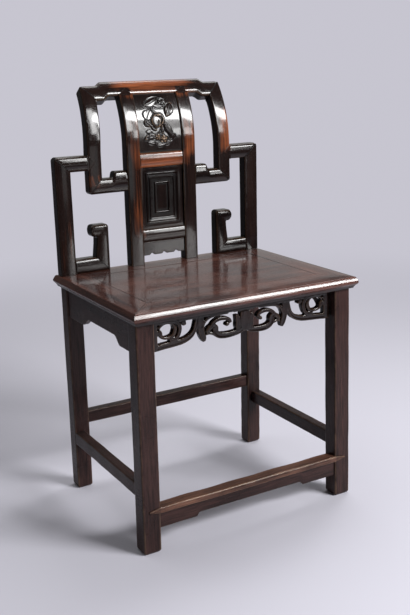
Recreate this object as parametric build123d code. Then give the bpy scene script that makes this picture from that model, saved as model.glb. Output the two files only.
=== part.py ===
"""Hardwood side chair with a stepped fret back, a curled-over splat and a carved front apron.

Frame: X to the right as the chair is faced, Y towards its back, Z up, in millimetres.
The floor is z = 0. The origin lies under the middle of the whole chair.
"left" is the -X side and "right" the +X side, as seen by someone facing the seat.
Every piece is drawn once on the +X side or across the middle, and mirrored where it has a twin.
"""
from build123d import *
from math import asin, cos, degrees, radians, sin
import os

# ---- Joinery ------------------------------------------------------------------------------
slack = 0.15                # gap round every tenon, tongue and dovetail in its mortise
stub_tenon = 8.0            # how far an apron's end goes into a leg
tenon_root = 2.0            # how far a tenon reaches back into its own piece, to be one with it
tenon_shoulder = 6.0        # from the edge of an apron to its tenon
shoulder_point_depth = 7.0  # thickness of the pointed front layer of a shouldered joint

# ---- Seat ---------------------------------------------------------------------------------
seat_height = 500.0         # floor to the top of the seat
seat_width = 524.0
seat_depth = 405.0
seat_thickness = 25.5
seat_long_rail_width = 68.0   # the front and the rear rail
seat_side_rail_width = 60.0
quirk_inset = 13.0          # from the edge to the fine line round the top
quirk_drop = 0.8
seat_panel_thickness = 13.0
seat_tongue_thickness = 6.0
seat_tongue_length = 8.0
seat_tongue_drop = 3.5      # top of the seat to the top of the panel's tongue
corner_tenon_thickness = 6.0
corner_tenon_width = 12.0
corner_tenon_inset = 4.0    # from the inner corner of the frame to the tenon's side
corner_tenon_margin = 14.0  # left solid between the tenon's end and the seat's edge
corner_tenon_drop = 1.0     # below the panel's groove
batten_distance = 90.0        # middle of the seat to the middle of a batten
batten_tenon_shoulder = 2.0
batten_width = 22.0
batten_drop = 11.0          # height of a batten below the panel
batten_tenon_length = 9.0
dovetail_height = 4.0
dovetail_neck = 12.0
dovetail_top = 15.0

# ---- Legs ---------------------------------------------------------------------------------
front_leg_width = 38.4
front_leg_depth = 36.8
rear_leg_width = 35.6
rear_leg_depth = 34.0
leg_edge_round = 3.0
front_leg_side_inset = 10.9   # from the seat's edge to the leg's outer face, under the seat
front_leg_front_inset = 17.2
rear_leg_side_inset = 12.3
rear_leg_rear_inset = 12.0
front_foot_out_side = 4.8     # how much further out the foot stands than the leg's top
front_foot_out_front = 4.2
rear_foot_out_rear = 4.3
foot_chamfer = 1.5
leg_tenon_height = 11.0
leg_tenon_size = 8.0
leg_tenon_offset = 8.0      # each of a leg's two tenons from the leg's centre, in X and Y

# ---- Aprons -------------------------------------------------------------------------------
side_apron_thickness = 12.0
side_apron_inset = 3.0      # behind the legs' outer faces, as are the rear apron's
side_apron_height = 46.0
side_apron_ear_height = 63.0
side_apron_front_ear = 50.0   # length of the deeper end at the front leg
side_apron_rear_ear = 75.0
side_apron_front_ogee = 25.0  # length of the curve up from the deeper end
side_apron_rear_ogee = 35.0
rear_apron_ear = 50.0
rear_apron_ogee = 25.0
front_apron_thickness = 14.0
front_apron_inset = 13.8    # behind the front legs' front faces
front_apron_height = 66.3

# ---- Stretchers ---------------------------------------------------------------------------
side_stretcher_bottom = 110.0
side_stretcher_height = 29.6
side_stretcher_width = 22.0
side_stretcher_inset = 1.0  # behind the rear leg's outer face
rear_stretcher_bottom = 154.0
rear_stretcher_height = 28.0
rear_stretcher_width = 22.0
rear_stretcher_inset = 5.0  # behind the rear leg's front face
stretcher_edge_round = 2.0
stretcher_tenon_length = 20.0
stretcher_tenon_thickness = 9.0
stretcher_tenon_height = 13.0
footrest_bottom = 84.4
footrest_height = 12.8
footrest_width = 27.5
footrest_proud = 3.0        # in front of the legs' front faces
footrest_worn_drop = 1.8    # wear along the front edge
footrest_worn_width = 8.0
footrest_lap = 24.0         # length of the point that laps over each leg's front
footrest_lap_tip = 3.0
footrest_tenon_height = 8.0
footrest_apron_thickness = 12.0
footrest_apron_inset = 4.0
footrest_apron_height = 26.0
footrest_apron_ear_height = 34.0
footrest_apron_ear = 84.0
footrest_apron_ogee = 7.0
footrest_tongue = 4.0       # thickness of the tongue under the footrest
footrest_tongue_height = 3.0

# ---- Back: its section -------------------------------------------------------------------
back_inset = 36.0           # seat's rear edge to the front face of the back
back_thickness = 25.0
bend_above_seat = 272.0     # where the back starts to curl rearward
bend_radius = 220.0         # of its front face
crest_angle = 33.1         # from upright, at the middle of the crest rail's face
trim_angle = 10.0           # how far members run on past the crest rail before they are trimmed
back_tenon_thickness = 8.0
seat_tenon_depth = 14.0     # how far a foot of the back goes down into the seat

# ---- Back: the fret, from the outside in ---------------------------------------------------
outer_stile_side_inset = 8.9  # from the seat's side edge
outer_stile_width = 34.9
shoulder_above_seat = 221.2   # underside of the shoulder rail
shoulder_height = 35.3
foot_rail_height = 32.2
lower_window_width = 51.5     # between the splat and an inner upright
inner_upright_width = 28.7
inner_upright_flare = 4.0     # how much wider the upright gets at its foot
inner_upright_height = 103.6
hook_length = 13.3            # how far the hook reaches past its upright
hook_height = 26.5
arm_length = 60.6             # from the splat to an upper stile
arm_above_seat = 169.6
arm_height = 32.5
arm_curl_height = 45.6        # from the arm's underside to the top of its curl
arm_curl_length = 32.2        # from the splat to the curl's rounded end
upper_stile_width = 31.2
upper_stile_lean = 2.9        # how far its outer edge moves inward up to the crest rail
upper_stile_inner_lean = 4.3
upper_stile_straight = 90.4   # its straight length above the arm's underside
fret_corner_round = 8.0
small_corner_round = 4.0

# ---- Back: the splat -----------------------------------------------------------------------
splat_width = 171.6
splat_stile_width = 33.0
mid_rail_above_seat = 217.5
mid_rail_height = 34.0
low_rail_above_seat = 49.3
low_rail_height = 31.3
splat_rail_tenon_length = 12.0
splat_rail_tenon_height = 14.0
splat_panel_thickness = 9.0
splat_panel_setback = 3.0
splat_groove = 4.0
coffer_setback = 6.0        # the sunk field of the lower panel behind the back's front face
coffer_relief = 3.0         # how far the two mouldings stand up from it
coffer_outer_margin = 12.0  # edge of the panel to the outer moulding
coffer_outer_band = 7.0
coffer_inner_margin = 34.0
coffer_inner_band = 6.0
splat_apron_height = 29.7
splat_apron_thickness = 8.0
splat_apron_setback = 5.0
splat_apron_shoulder = 4.0  # from the apron's edges to its tenons
splat_notch_spacing = 31.0
splat_notch_height = 5.0
splat_notch_width = 14.0

# ---- Back: the crest rail ------------------------------------------------------------------
crest_face = 35.1           # height of its front face, measured along the curve
crest_step = 9.3           # how much the middle stands above the ends
crest_top_step_inset = 44.0   # from the crest's end to the middle of the step in its top edge
crest_low_step_inset = 25.1   # from the upper stile to the middle of the step in its lower edge
crest_step_run = 16.0
crest_corner_round = 8.0
crest_point_height = 13.0   # of the splat stiles' pointed shoulders
crest_tenon_length = 12.0
arm_pin_length = 24.0       # loose tenon between a curled arm and the splat

# ---- Places worked out from the sizes ------------------------------------------------------
crest_half_face = crest_face / 2
rear_radius = bend_radius - back_thickness
crest_rear_angle = crest_angle + degrees(asin(crest_half_face / rear_radius))
crest_reach = bend_radius - rear_radius * cos(radians(crest_rear_angle))
overall_depth = seat_depth - back_inset + crest_reach
seat_front = -overall_depth / 2
seat_rear = seat_front + seat_depth
seat_half = seat_width / 2
seat_bottom = seat_height - seat_thickness
bend_height = seat_height + bend_above_seat
back_front = seat_rear - back_inset
back_rear = back_front + back_thickness
back_middle = back_front + back_thickness / 2
tenon_y = (back_middle - back_tenon_thickness / 2, back_middle + back_tenon_thickness / 2)
front_leg_outer = seat_half - front_leg_side_inset
front_leg_front = seat_front + front_leg_front_inset
front_leg_x = front_leg_outer - front_leg_width / 2
front_leg_y = front_leg_front + front_leg_depth / 2
rear_leg_outer = seat_half - rear_leg_side_inset
rear_leg_rear = seat_rear - rear_leg_rear_inset
rear_leg_x = rear_leg_outer - rear_leg_width / 2
rear_leg_y = rear_leg_rear - rear_leg_depth / 2
rear_leg_front = rear_leg_rear - rear_leg_depth
outer_stile_outer = seat_half - outer_stile_side_inset
outer_stile_inner = outer_stile_outer - outer_stile_width
shoulder_bottom = seat_height + shoulder_above_seat
shoulder_top = shoulder_bottom + shoulder_height
foot_rail_top = seat_height + foot_rail_height
splat_outer = splat_width / 2
splat_inner = splat_outer - splat_stile_width
inner_upright_inner = splat_outer + lower_window_width
inner_upright_outer = inner_upright_inner + inner_upright_width
inner_upright_top = seat_height + inner_upright_height
hook_reach = inner_upright_outer + hook_length
hook_bottom = inner_upright_top - hook_height
upper_stile_inner = splat_outer + arm_length
upper_stile_outer = upper_stile_inner + upper_stile_width
upper_stile_top_outer = upper_stile_outer - upper_stile_lean
upper_stile_top_inner = upper_stile_inner - upper_stile_inner_lean
arm_bottom = seat_height + arm_above_seat
arm_top = arm_bottom + arm_height
arm_curl_top = arm_bottom + arm_curl_height
arm_curl_reach = splat_outer + arm_curl_length
upper_stile_lean_start = arm_bottom + upper_stile_straight
mid_rail_bottom = seat_height + mid_rail_above_seat
mid_rail_top = mid_rail_bottom + mid_rail_height
low_rail_bottom = seat_height + low_rail_above_seat
low_rail_top = low_rail_bottom + low_rail_height
crest_top_step_at = upper_stile_top_outer - crest_top_step_inset
crest_low_step_at = upper_stile_top_inner - crest_low_step_inset
crest_end_low = -crest_half_face - crest_step
crest_end_top = crest_half_face - crest_step

# The plane that touches the crest rail's front face at its middle height.
crest_lean = radians(crest_angle)
crest_middle_y = back_front + bend_radius * (1 - cos(crest_lean))
crest_middle_z = bend_height + bend_radius * sin(crest_lean)
crest_plane = Plane(
    origin=(0, crest_middle_y, crest_middle_z),
    x_dir=(1, 0, 0),
    z_dir=(0, -cos(crest_lean), sin(crest_lean)),
)

halves = {}     # pieces that have a twin: the +X one
middles = {}    # pieces that cross the middle


# ---- Helpers -------------------------------------------------------------------------------
def block(x, y, z):
    """A box between the two ends given for each axis."""
    spans = [(min(pair), max(pair)) for pair in (x, y, z)]
    centre = [(low + high) / 2 for low, high in spans]
    return Pos(*centre) * Box(*[high - low for low, high in spans])


def grown(box):
    """The mortise for a block-shaped tenon."""
    bounds = box.bounding_box()
    pairs = zip(tuple(bounds.min), tuple(bounds.max))
    return block(*[(low - slack, high + slack) for low, high in pairs])


def mirrored(shape):
    return mirror(shape, about=Plane.YZ)


def add(name, shape):
    """Fuses a shape to a piece, on both sides where the piece crosses the middle."""
    if name in halves:
        halves[name] = halves[name] + shape
    else:
        middles[name] = middles[name] + shape + mirrored(shape)


def cut(name, shape):
    """Cuts a shape from a piece, on both sides where the piece crosses the middle."""
    if name in halves:
        halves[name] = halves[name] - shape
    else:
        middles[name] = middles[name] - shape - mirrored(shape)


def join(owner, hosts, x, y, z):
    """Gives the owner a block-shaped tenon, and each host the mortise for it."""
    tenon = block(x, y, z)
    add(owner, tenon)
    for host in hosts:
        cut(host, grown(tenon))


def outline(points):
    """A flat face with straight sides."""
    return make_face(Polyline(*points, close=True))


def front_prism(face, y_front, y_rear):
    """A face drawn in (x, z), carried from one depth to another."""
    plane = Plane(origin=(0, y_rear, 0), x_dir=(1, 0, 0), z_dir=(0, -1, 0))
    return extrude(plane * face, amount=y_rear - y_front)


def side_prism(face, x_low, x_high):
    """A face drawn in (y, z), carried along X."""
    plane = Plane(origin=(x_low, 0, 0), x_dir=(0, 1, 0), z_dir=(1, 0, 0))
    return extrude(plane * face, amount=x_high - x_low)


def crest_prism(face):
    """A face drawn on the crest plane, carried square to it through the back."""
    return extrude(crest_plane * face, amount=2 * back_thickness, both=True)


def back_layer(near, far, half_width, base=seat_height):
    """The upright, then rearward-curling sheet between two depths behind the back's front face."""
    centre = (back_front + bend_radius, bend_height)
    sweep_angle = crest_angle + trim_angle
    near_y, far_y = back_front + near, back_front + far
    front_arc = CenterArc(centre, bend_radius - near, 180, -sweep_angle)
    rear_arc = CenterArc(centre, bend_radius - far, 180, -sweep_angle)
    face = make_face([
        Line((near_y, base), (near_y, bend_height)),
        front_arc,
        Line(front_arc @ 1, rear_arc @ 1),
        rear_arc,
        Line((far_y, bend_height), (far_y, base)),
        Line((far_y, base), (near_y, base)),
    ])
    return side_prism(face, -half_width, half_width)


def round_corner(corner, inward_x, inward_z, radius):
    """What rounding takes off a square outer corner, as a face in (x, z)."""
    x, z = corner
    centre = (x + inward_x * radius, z + inward_z * radius)
    square = Pos(x + inward_x * radius / 2, z + inward_z * radius / 2) * Rectangle(radius, radius)
    return square - Pos(*centre) * Circle(radius)


def ogee(start, end):
    """A smooth step between two points that leaves and arrives level."""
    middle = (start[0] + end[0]) / 2
    return Bezier(start, (middle, start[1]), (middle, end[1]), end)


# ---- Legs ----------------------------------------------------------------------------------
def make_leg(width, depth, top_x, top_y, out_x, out_y):
    """A square leg that stands slightly further out at the foot."""
    foot = Pos(top_x + out_x, top_y + out_y, 0) * RectangleRounded(width, depth, leg_edge_round)
    head = Pos(top_x, top_y, seat_bottom) * RectangleRounded(width, depth, leg_edge_round)
    leg = loft([foot, head])
    sole = leg.faces().sort_by(Axis.Z)[0]
    return chamfer(sole.edges(), foot_chamfer)


def make_legs():
    halves["leg_front"] = make_leg(
        front_leg_width, front_leg_depth, front_leg_x, front_leg_y,
        front_foot_out_side, -front_foot_out_front)
    halves["leg_rear"] = make_leg(
        rear_leg_width, rear_leg_depth, rear_leg_x, rear_leg_y, 0, rear_foot_out_rear)


def leg_outer_at(height):
    """Half width to the front leg's outer face at a height."""
    return front_leg_outer + front_foot_out_side * (1 - height / seat_bottom)


def front_leg_front_at(height):
    return front_leg_front - front_foot_out_front * (1 - height / seat_bottom)


# ---- Seat ----------------------------------------------------------------------------------
def rail_section(width):
    """A seat rail in (distance from its outer edge, z): half-round nose, quirk and panel groove."""
    nose = seat_thickness / 2
    nose_top = seat_height - quirk_drop
    middle = (seat_bottom + nose_top) / 2
    groove_top = seat_height - seat_tongue_drop + slack
    groove_bottom = seat_height - seat_tongue_drop - seat_tongue_thickness - slack
    groove_end = width - seat_tongue_length - slack
    return make_face([
        ThreePointArc((nose, seat_bottom), (0, middle), (nose, nose_top)),
        Polyline(
            (nose, nose_top), (quirk_inset, nose_top), (quirk_inset, seat_height), (width, seat_height),
            (width, groove_top), (groove_end, groove_top), (groove_end, groove_bottom),
            (width, groove_bottom), (width, seat_bottom), (nose, seat_bottom)),
    ])


def make_seat():
    inner_x = seat_half - seat_side_rail_width
    inner_front = seat_front + seat_long_rail_width
    inner_rear = seat_rear - seat_long_rail_width

    # Mitred rails: long sections trimmed by the lines from each outer to each inner corner.
    front = outline([
        (-seat_half, seat_front), (seat_half, seat_front), (inner_x, inner_front), (-inner_x, inner_front)])
    rear = outline([
        (-seat_half, seat_rear), (-inner_x, inner_rear), (inner_x, inner_rear), (seat_half, seat_rear)])
    side = outline([
        (seat_half, seat_front), (seat_half, seat_rear), (inner_x, inner_rear), (inner_x, inner_front)])
    trims = [extrude(Pos(0, 0, seat_bottom) * face, amount=seat_thickness) for face in (front, rear, side)]
    long_section = rail_section(seat_long_rail_width)
    side_section = rail_section(seat_side_rail_width)
    front_plane = Plane(origin=(-seat_half, seat_front, 0), x_dir=(0, 1, 0), z_dir=(1, 0, 0))
    rear_plane = Plane(origin=(seat_half, seat_rear, 0), x_dir=(0, -1, 0), z_dir=(-1, 0, 0))
    side_plane = Plane(origin=(seat_half, seat_front, 0), x_dir=(-1, 0, 0), z_dir=(0, 1, 0))
    middles["seat_front_rail"] = extrude(front_plane * long_section, amount=seat_width) & trims[0]
    middles["seat_rear_rail"] = extrude(rear_plane * long_section, amount=seat_width) & trims[1]
    halves["seat_side_rail"] = extrude(side_plane * side_section, amount=seat_depth) & trims[2]

    # Panel, flush with the rails, held by a tongue all round.
    panel_bottom = seat_height - seat_panel_thickness
    tongue_top = seat_height - seat_tongue_drop
    body = block((-inner_x, inner_x), (inner_front, inner_rear), (panel_bottom, seat_height))
    tongue = block(
        (-inner_x - seat_tongue_length, inner_x + seat_tongue_length),
        (inner_front - seat_tongue_length, inner_rear + seat_tongue_length),
        (tongue_top - seat_tongue_thickness, tongue_top))
    middles["seat_panel"] = body + tongue

    # Corner tenons of the side rails, across the mitres into the front and the rear rail.
    tenon_x = (inner_x + corner_tenon_inset, inner_x + corner_tenon_inset + corner_tenon_width)
    tenon_top = tongue_top - seat_tongue_thickness - corner_tenon_drop
    tenon_z = (tenon_top - corner_tenon_thickness, tenon_top)
    mitre_slope = seat_long_rail_width / seat_side_rail_width
    reach = (seat_side_rail_width - corner_tenon_inset) * mitre_slope
    for host, edge, inward in (("seat_front_rail", seat_front, 1), ("seat_rear_rail", seat_rear, -1)):
        ends = (edge + inward * corner_tenon_margin, edge + inward * reach)
        join("seat_side_rail", [host], tenon_x, ends, tenon_z)

    # Two battens dovetailed across the underside of the panel.
    batten_x = batten_distance
    batten_bottom = panel_bottom - batten_drop
    batten = block(
        (batten_x - batten_width / 2, batten_x + batten_width / 2),
        (inner_front, inner_rear), (batten_bottom, panel_bottom))
    tail = [
        (batten_x - dovetail_neck / 2, panel_bottom), (batten_x + dovetail_neck / 2, panel_bottom),
        (batten_x + dovetail_top / 2, panel_bottom + dovetail_height),
        (batten_x - dovetail_top / 2, panel_bottom + dovetail_height)]
    housing = [
        (tail[0][0] - slack, panel_bottom), (tail[1][0] + slack, panel_bottom),
        (tail[2][0] + slack, tail[2][1] + slack), (tail[3][0] - slack, tail[3][1] + slack)]
    halves["seat_batten"] = batten + front_prism(outline(tail), inner_front, inner_rear)
    beyond = 2 * seat_tongue_length
    cut("seat_panel", front_prism(outline(housing), inner_front - beyond, inner_rear + beyond))
    tenon_z = (batten_bottom + batten_tenon_shoulder, panel_bottom - batten_tenon_shoulder)
    tenon_x = (batten_x - batten_width / 4, batten_x + batten_width / 4)
    front_end = (inner_front - batten_tenon_length, inner_front + tenon_root)
    rear_end = (inner_rear - tenon_root, inner_rear + batten_tenon_length)
    join("seat_batten", ["seat_front_rail"], tenon_x, front_end, tenon_z)
    join("seat_batten", ["seat_rear_rail"], tenon_x, rear_end, tenon_z)


def join_legs_to_seat():
    """Two tenons on each leg, one each side of the mitre, lock the corner of the seat frame."""
    z = (seat_bottom - tenon_root, seat_bottom + leg_tenon_height)
    half = leg_tenon_size / 2
    for leg, long_rail, x, y, outward in (
            ("leg_front", "seat_front_rail", front_leg_x, front_leg_y, -1),
            ("leg_rear", "seat_rear_rail", rear_leg_x, rear_leg_y, 1)):
        spots = (
            (x - leg_tenon_offset, y + outward * leg_tenon_offset),
            (x + leg_tenon_offset, y - outward * leg_tenon_offset))
        for spot_x, spot_y in spots:
            join(leg, [long_rail, "seat_side_rail"],
                 (spot_x - half, spot_x + half), (spot_y - half, spot_y + half), z)


# ---- Aprons --------------------------------------------------------------------------------
def eared_board(start, end, top, height, ear_height, ears, ogees):
    """A board with straight top, deeper ends and an ogee down to each, in (length, z)."""
    low, ear_low = top - height, top - ear_height
    a, b = start + ears[0], end - ears[1]
    return make_face([
        Line((start, top), (start, ear_low)),
        Line((start, ear_low), (a, ear_low)),
        ogee((a, ear_low), (a + ogees[0], low)),
        Line((a + ogees[0], low), (b - ogees[1], low)),
        ogee((b - ogees[1], low), (b, ear_low)),
        Line((b, ear_low), (end, ear_low)),
        Line((end, ear_low), (end, top)),
        Line((end, top), (start, top)),
    ])


def make_plain_aprons():
    leg_inner_front = front_leg_y + front_leg_depth / 2
    tenon_z = (seat_bottom - side_apron_ear_height + tenon_shoulder, seat_bottom - tenon_shoulder)
    outer = min(front_leg_outer, rear_leg_outer) - side_apron_inset
    board = eared_board(
        leg_inner_front - leg_edge_round, rear_leg_front + leg_edge_round, seat_bottom,
        side_apron_height, side_apron_ear_height,
        (side_apron_front_ear + leg_edge_round, side_apron_rear_ear + leg_edge_round),
        (side_apron_front_ogee, side_apron_rear_ogee))
    apron = side_prism(board, outer - side_apron_thickness, outer)
    halves["side_apron"] = apron - halves["leg_front"] - halves["leg_rear"]
    tongue_x = (outer - side_apron_thickness * 3 / 4, outer - side_apron_thickness / 4)
    front_end = (leg_inner_front - stub_tenon, leg_inner_front + tenon_root)
    rear_end = (rear_leg_front - tenon_root, rear_leg_front + stub_tenon)
    join("side_apron", ["leg_front"], tongue_x, front_end, tenon_z)
    join("side_apron", ["leg_rear"], tongue_x, rear_end, tenon_z)

    rear_face = rear_leg_rear - side_apron_inset
    leg_inner = rear_leg_outer - rear_leg_width
    board = eared_board(
        -leg_inner - leg_edge_round, leg_inner + leg_edge_round, seat_bottom,
        side_apron_height, side_apron_ear_height,
        (rear_apron_ear + leg_edge_round, rear_apron_ear + leg_edge_round),
        (rear_apron_ogee, rear_apron_ogee))
    apron = front_prism(board, rear_face - side_apron_thickness, rear_face)
    middles["rear_apron"] = apron - halves["leg_rear"] - mirrored(halves["leg_rear"])
    tongue_y = (rear_face - side_apron_thickness * 3 / 4, rear_face - side_apron_thickness / 4)
    end = (leg_inner - tenon_root, leg_inner + stub_tenon)
    join("rear_apron", ["leg_rear"], end, tongue_y, tenon_z)


# The front apron is a row of scrolls, symmetric about its middle. The figures below are its
# lower edge and its four openings on one side, as shares of its half length and its height
# (0 at the middle and at the lowest point, 1 at the leg and under the seat).
scroll_lower_edge = [
    (0.000, 0.05), (0.050, 0.10), (0.090, 0.02), (0.160, 0.00), (0.270, 0.00), (0.330, 0.06), (0.375, 0.14),
    (0.410, 0.12), (0.440, 0.01), (0.475, 0.02), (0.500, 0.10), (0.530, 0.10), (0.580, 0.01), (0.650, 0.00)]
scroll_straight_end = (0.940, 0.0)
scroll_openings = [
    [(0.27, 0.22), (0.28, 0.40), (0.245, 0.46), (0.205, 0.40), (0.175, 0.50), (0.135, 0.52), (0.115, 0.40),
     (0.145, 0.24), (0.21, 0.18)],
    [(0.21, 0.66), (0.265, 0.75), (0.36, 0.77), (0.42, 0.72), (0.45, 0.58), (0.455, 0.42), (0.43, 0.36),
     (0.395, 0.48), (0.34, 0.57), (0.27, 0.62)],
    [(0.535, 0.70), (0.555, 0.76), (0.59, 0.74), (0.605, 0.64), (0.65, 0.59), (0.69, 0.61), (0.71, 0.50),
     (0.735, 0.30), (0.71, 0.20), (0.62, 0.19), (0.55, 0.27), (0.52, 0.45)],
    [(0.765, 0.74), (0.84, 0.77), (0.90, 0.74), (0.93, 0.62), (0.89, 0.52), (0.87, 0.41), (0.81, 0.38),
     (0.765, 0.48), (0.745, 0.62)],
]


def make_front_apron():
    half_length = front_leg_outer - front_leg_width
    low = seat_bottom - front_apron_height
    front = front_leg_front + front_apron_inset
    rear = front + front_apron_thickness

    def place(point):
        return (point[0] * half_length, low + point[1] * front_apron_height)

    edge = [place(point) for point in scroll_lower_edge]
    straight_end = place(scroll_straight_end)
    end = half_length + leg_edge_round
    half_face = make_face([
        Spline(*edge),
        Polyline(edge[-1], straight_end, (end, low + small_corner_round), (end, seat_bottom),
                 (0, seat_bottom), edge[0]),
    ])
    for opening in scroll_openings:
        half_face -= make_face(Spline(*[place(point) for point in opening], periodic=True))
    half_board = front_prism(half_face, front, rear) - halves["leg_front"]
    middles["front_apron"] = half_board + mirrored(half_board)
    third = front_apron_thickness / 3
    join("front_apron", ["leg_front"], (half_length - tenon_root, half_length + stub_tenon),
         (front + third, rear - third), (low + tenon_shoulder, seat_bottom - tenon_shoulder))


# ---- Stretchers ----------------------------------------------------------------------------
def make_stretchers():
    # Side stretchers, from front leg to rear leg.
    outer = rear_leg_outer - side_stretcher_inset
    middle_x = outer - side_stretcher_width / 2
    middle_z = side_stretcher_bottom + side_stretcher_height / 2
    ends = (front_leg_y, rear_leg_y)
    section = RectangleRounded(side_stretcher_width, side_stretcher_height, stretcher_edge_round)
    plane = Plane(origin=(middle_x, ends[0], middle_z), x_dir=(1, 0, 0), z_dir=(0, 1, 0))
    bar = extrude(plane * section, amount=ends[1] - ends[0])
    halves["side_stretcher"] = bar - halves["leg_front"] - halves["leg_rear"]
    front_face = front_leg_front_at(middle_z) + front_leg_depth
    rear_face = rear_leg_front + rear_foot_out_rear * (1 - middle_z / seat_bottom)
    x = (middle_x - stretcher_tenon_thickness / 2, middle_x + stretcher_tenon_thickness / 2)
    z = (middle_z - stretcher_tenon_height / 2, middle_z + stretcher_tenon_height / 2)
    front_end = (front_face - stretcher_tenon_length, front_face + tenon_root)
    rear_end = (rear_face - tenon_root, rear_face + stretcher_tenon_length)
    join("side_stretcher", ["leg_front"], x, front_end, z)
    join("side_stretcher", ["leg_rear"], x, rear_end, z)

    # Rear stretcher.
    middle_z = rear_stretcher_bottom + rear_stretcher_height / 2
    leg_face = rear_leg_front + rear_foot_out_rear * (1 - middle_z / seat_bottom)
    middle_y = leg_face + rear_stretcher_inset + rear_stretcher_width / 2
    section = RectangleRounded(rear_stretcher_width, rear_stretcher_height, stretcher_edge_round)
    plane = Plane(origin=(-rear_leg_x, middle_y, middle_z), x_dir=(0, 1, 0), z_dir=(1, 0, 0))
    bar = extrude(plane * section, amount=2 * rear_leg_x)
    middles["rear_stretcher"] = bar - halves["leg_rear"] - mirrored(halves["leg_rear"])
    leg_inner = rear_leg_outer - rear_leg_width
    y = (middle_y - stretcher_tenon_thickness / 2, middle_y + stretcher_tenon_thickness / 2)
    z = (middle_z - stretcher_tenon_height / 2, middle_z + stretcher_tenon_height / 2)
    join("rear_stretcher", ["leg_rear"], (leg_inner - tenon_root, leg_inner + stretcher_tenon_length), y, z)


def make_footrest():
    top = footrest_bottom + footrest_height
    leg_face = front_leg_front_at(footrest_bottom)
    front = leg_face - footrest_proud
    rear = front + footrest_width
    section = outline([
        (front, footrest_bottom), (rear, footrest_bottom), (rear, top),
        (front + footrest_worn_width, top), (front, top - footrest_worn_drop)])
    leg_inner = leg_outer_at(footrest_bottom) - front_leg_width
    tip_x = leg_inner + footrest_lap
    tip_middle = footrest_bottom + footrest_height / 2
    reach = leg_inner + leg_edge_round
    between = block((-reach, reach), (front, rear), (footrest_bottom, top))
    half_lip = outline([
        (0, footrest_bottom), (leg_inner, footrest_bottom), (tip_x, tip_middle - footrest_lap_tip / 2),
        (tip_x, tip_middle + footrest_lap_tip / 2), (leg_inner, top), (0, top)])
    lip = front_prism(half_lip, front, leg_face + leg_edge_round)
    bar = side_prism(section, -tip_x, tip_x) & (between + lip + mirrored(lip))
    middles["footrest"] = bar - halves["leg_front"] - mirrored(halves["leg_front"])
    middle_y = leg_face + front_leg_depth / 2
    y = (middle_y - stretcher_tenon_thickness / 2, middle_y + stretcher_tenon_thickness / 2)
    z = (tip_middle - footrest_tenon_height / 2, tip_middle + footrest_tenon_height / 2)
    join("footrest", ["leg_front"], (leg_inner - tenon_root, leg_inner + stretcher_tenon_length), y, z)

    # The shaped apron under it, with a tongue in a groove in the footrest's underside.
    board = eared_board(
        -leg_inner - 2 * leg_edge_round, leg_inner + 2 * leg_edge_round, footrest_bottom,
        footrest_apron_height, footrest_apron_ear_height,
        (footrest_apron_ear + leg_edge_round, footrest_apron_ear + leg_edge_round),
        (footrest_apron_ogee, footrest_apron_ogee))
    apron_front = leg_face + footrest_apron_inset
    apron_rear = apron_front + footrest_apron_thickness
    board = front_prism(board, apron_front, apron_rear)
    middles["footrest_apron"] = board - halves["leg_front"] - mirrored(halves["leg_front"])
    third = footrest_apron_thickness / 3
    join("footrest_apron", ["leg_front"], (leg_inner - tenon_root, leg_inner + stub_tenon),
         (apron_front + third, apron_rear - third),
         (footrest_bottom - footrest_apron_ear_height + tenon_shoulder, footrest_bottom - tenon_shoulder))
    tongue_y = (apron_front + third, apron_front + third + footrest_tongue)
    join("footrest_apron", ["footrest"], (0, leg_inner - tenon_shoulder), tongue_y,
         (footrest_bottom - tenon_root, footrest_bottom + footrest_tongue_height))


# ---- Back: the fret ------------------------------------------------------------------------
def fret_piece(face):
    """A flat fret member from its outline in (x, z)."""
    return front_prism(face, back_front, back_rear)


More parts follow.
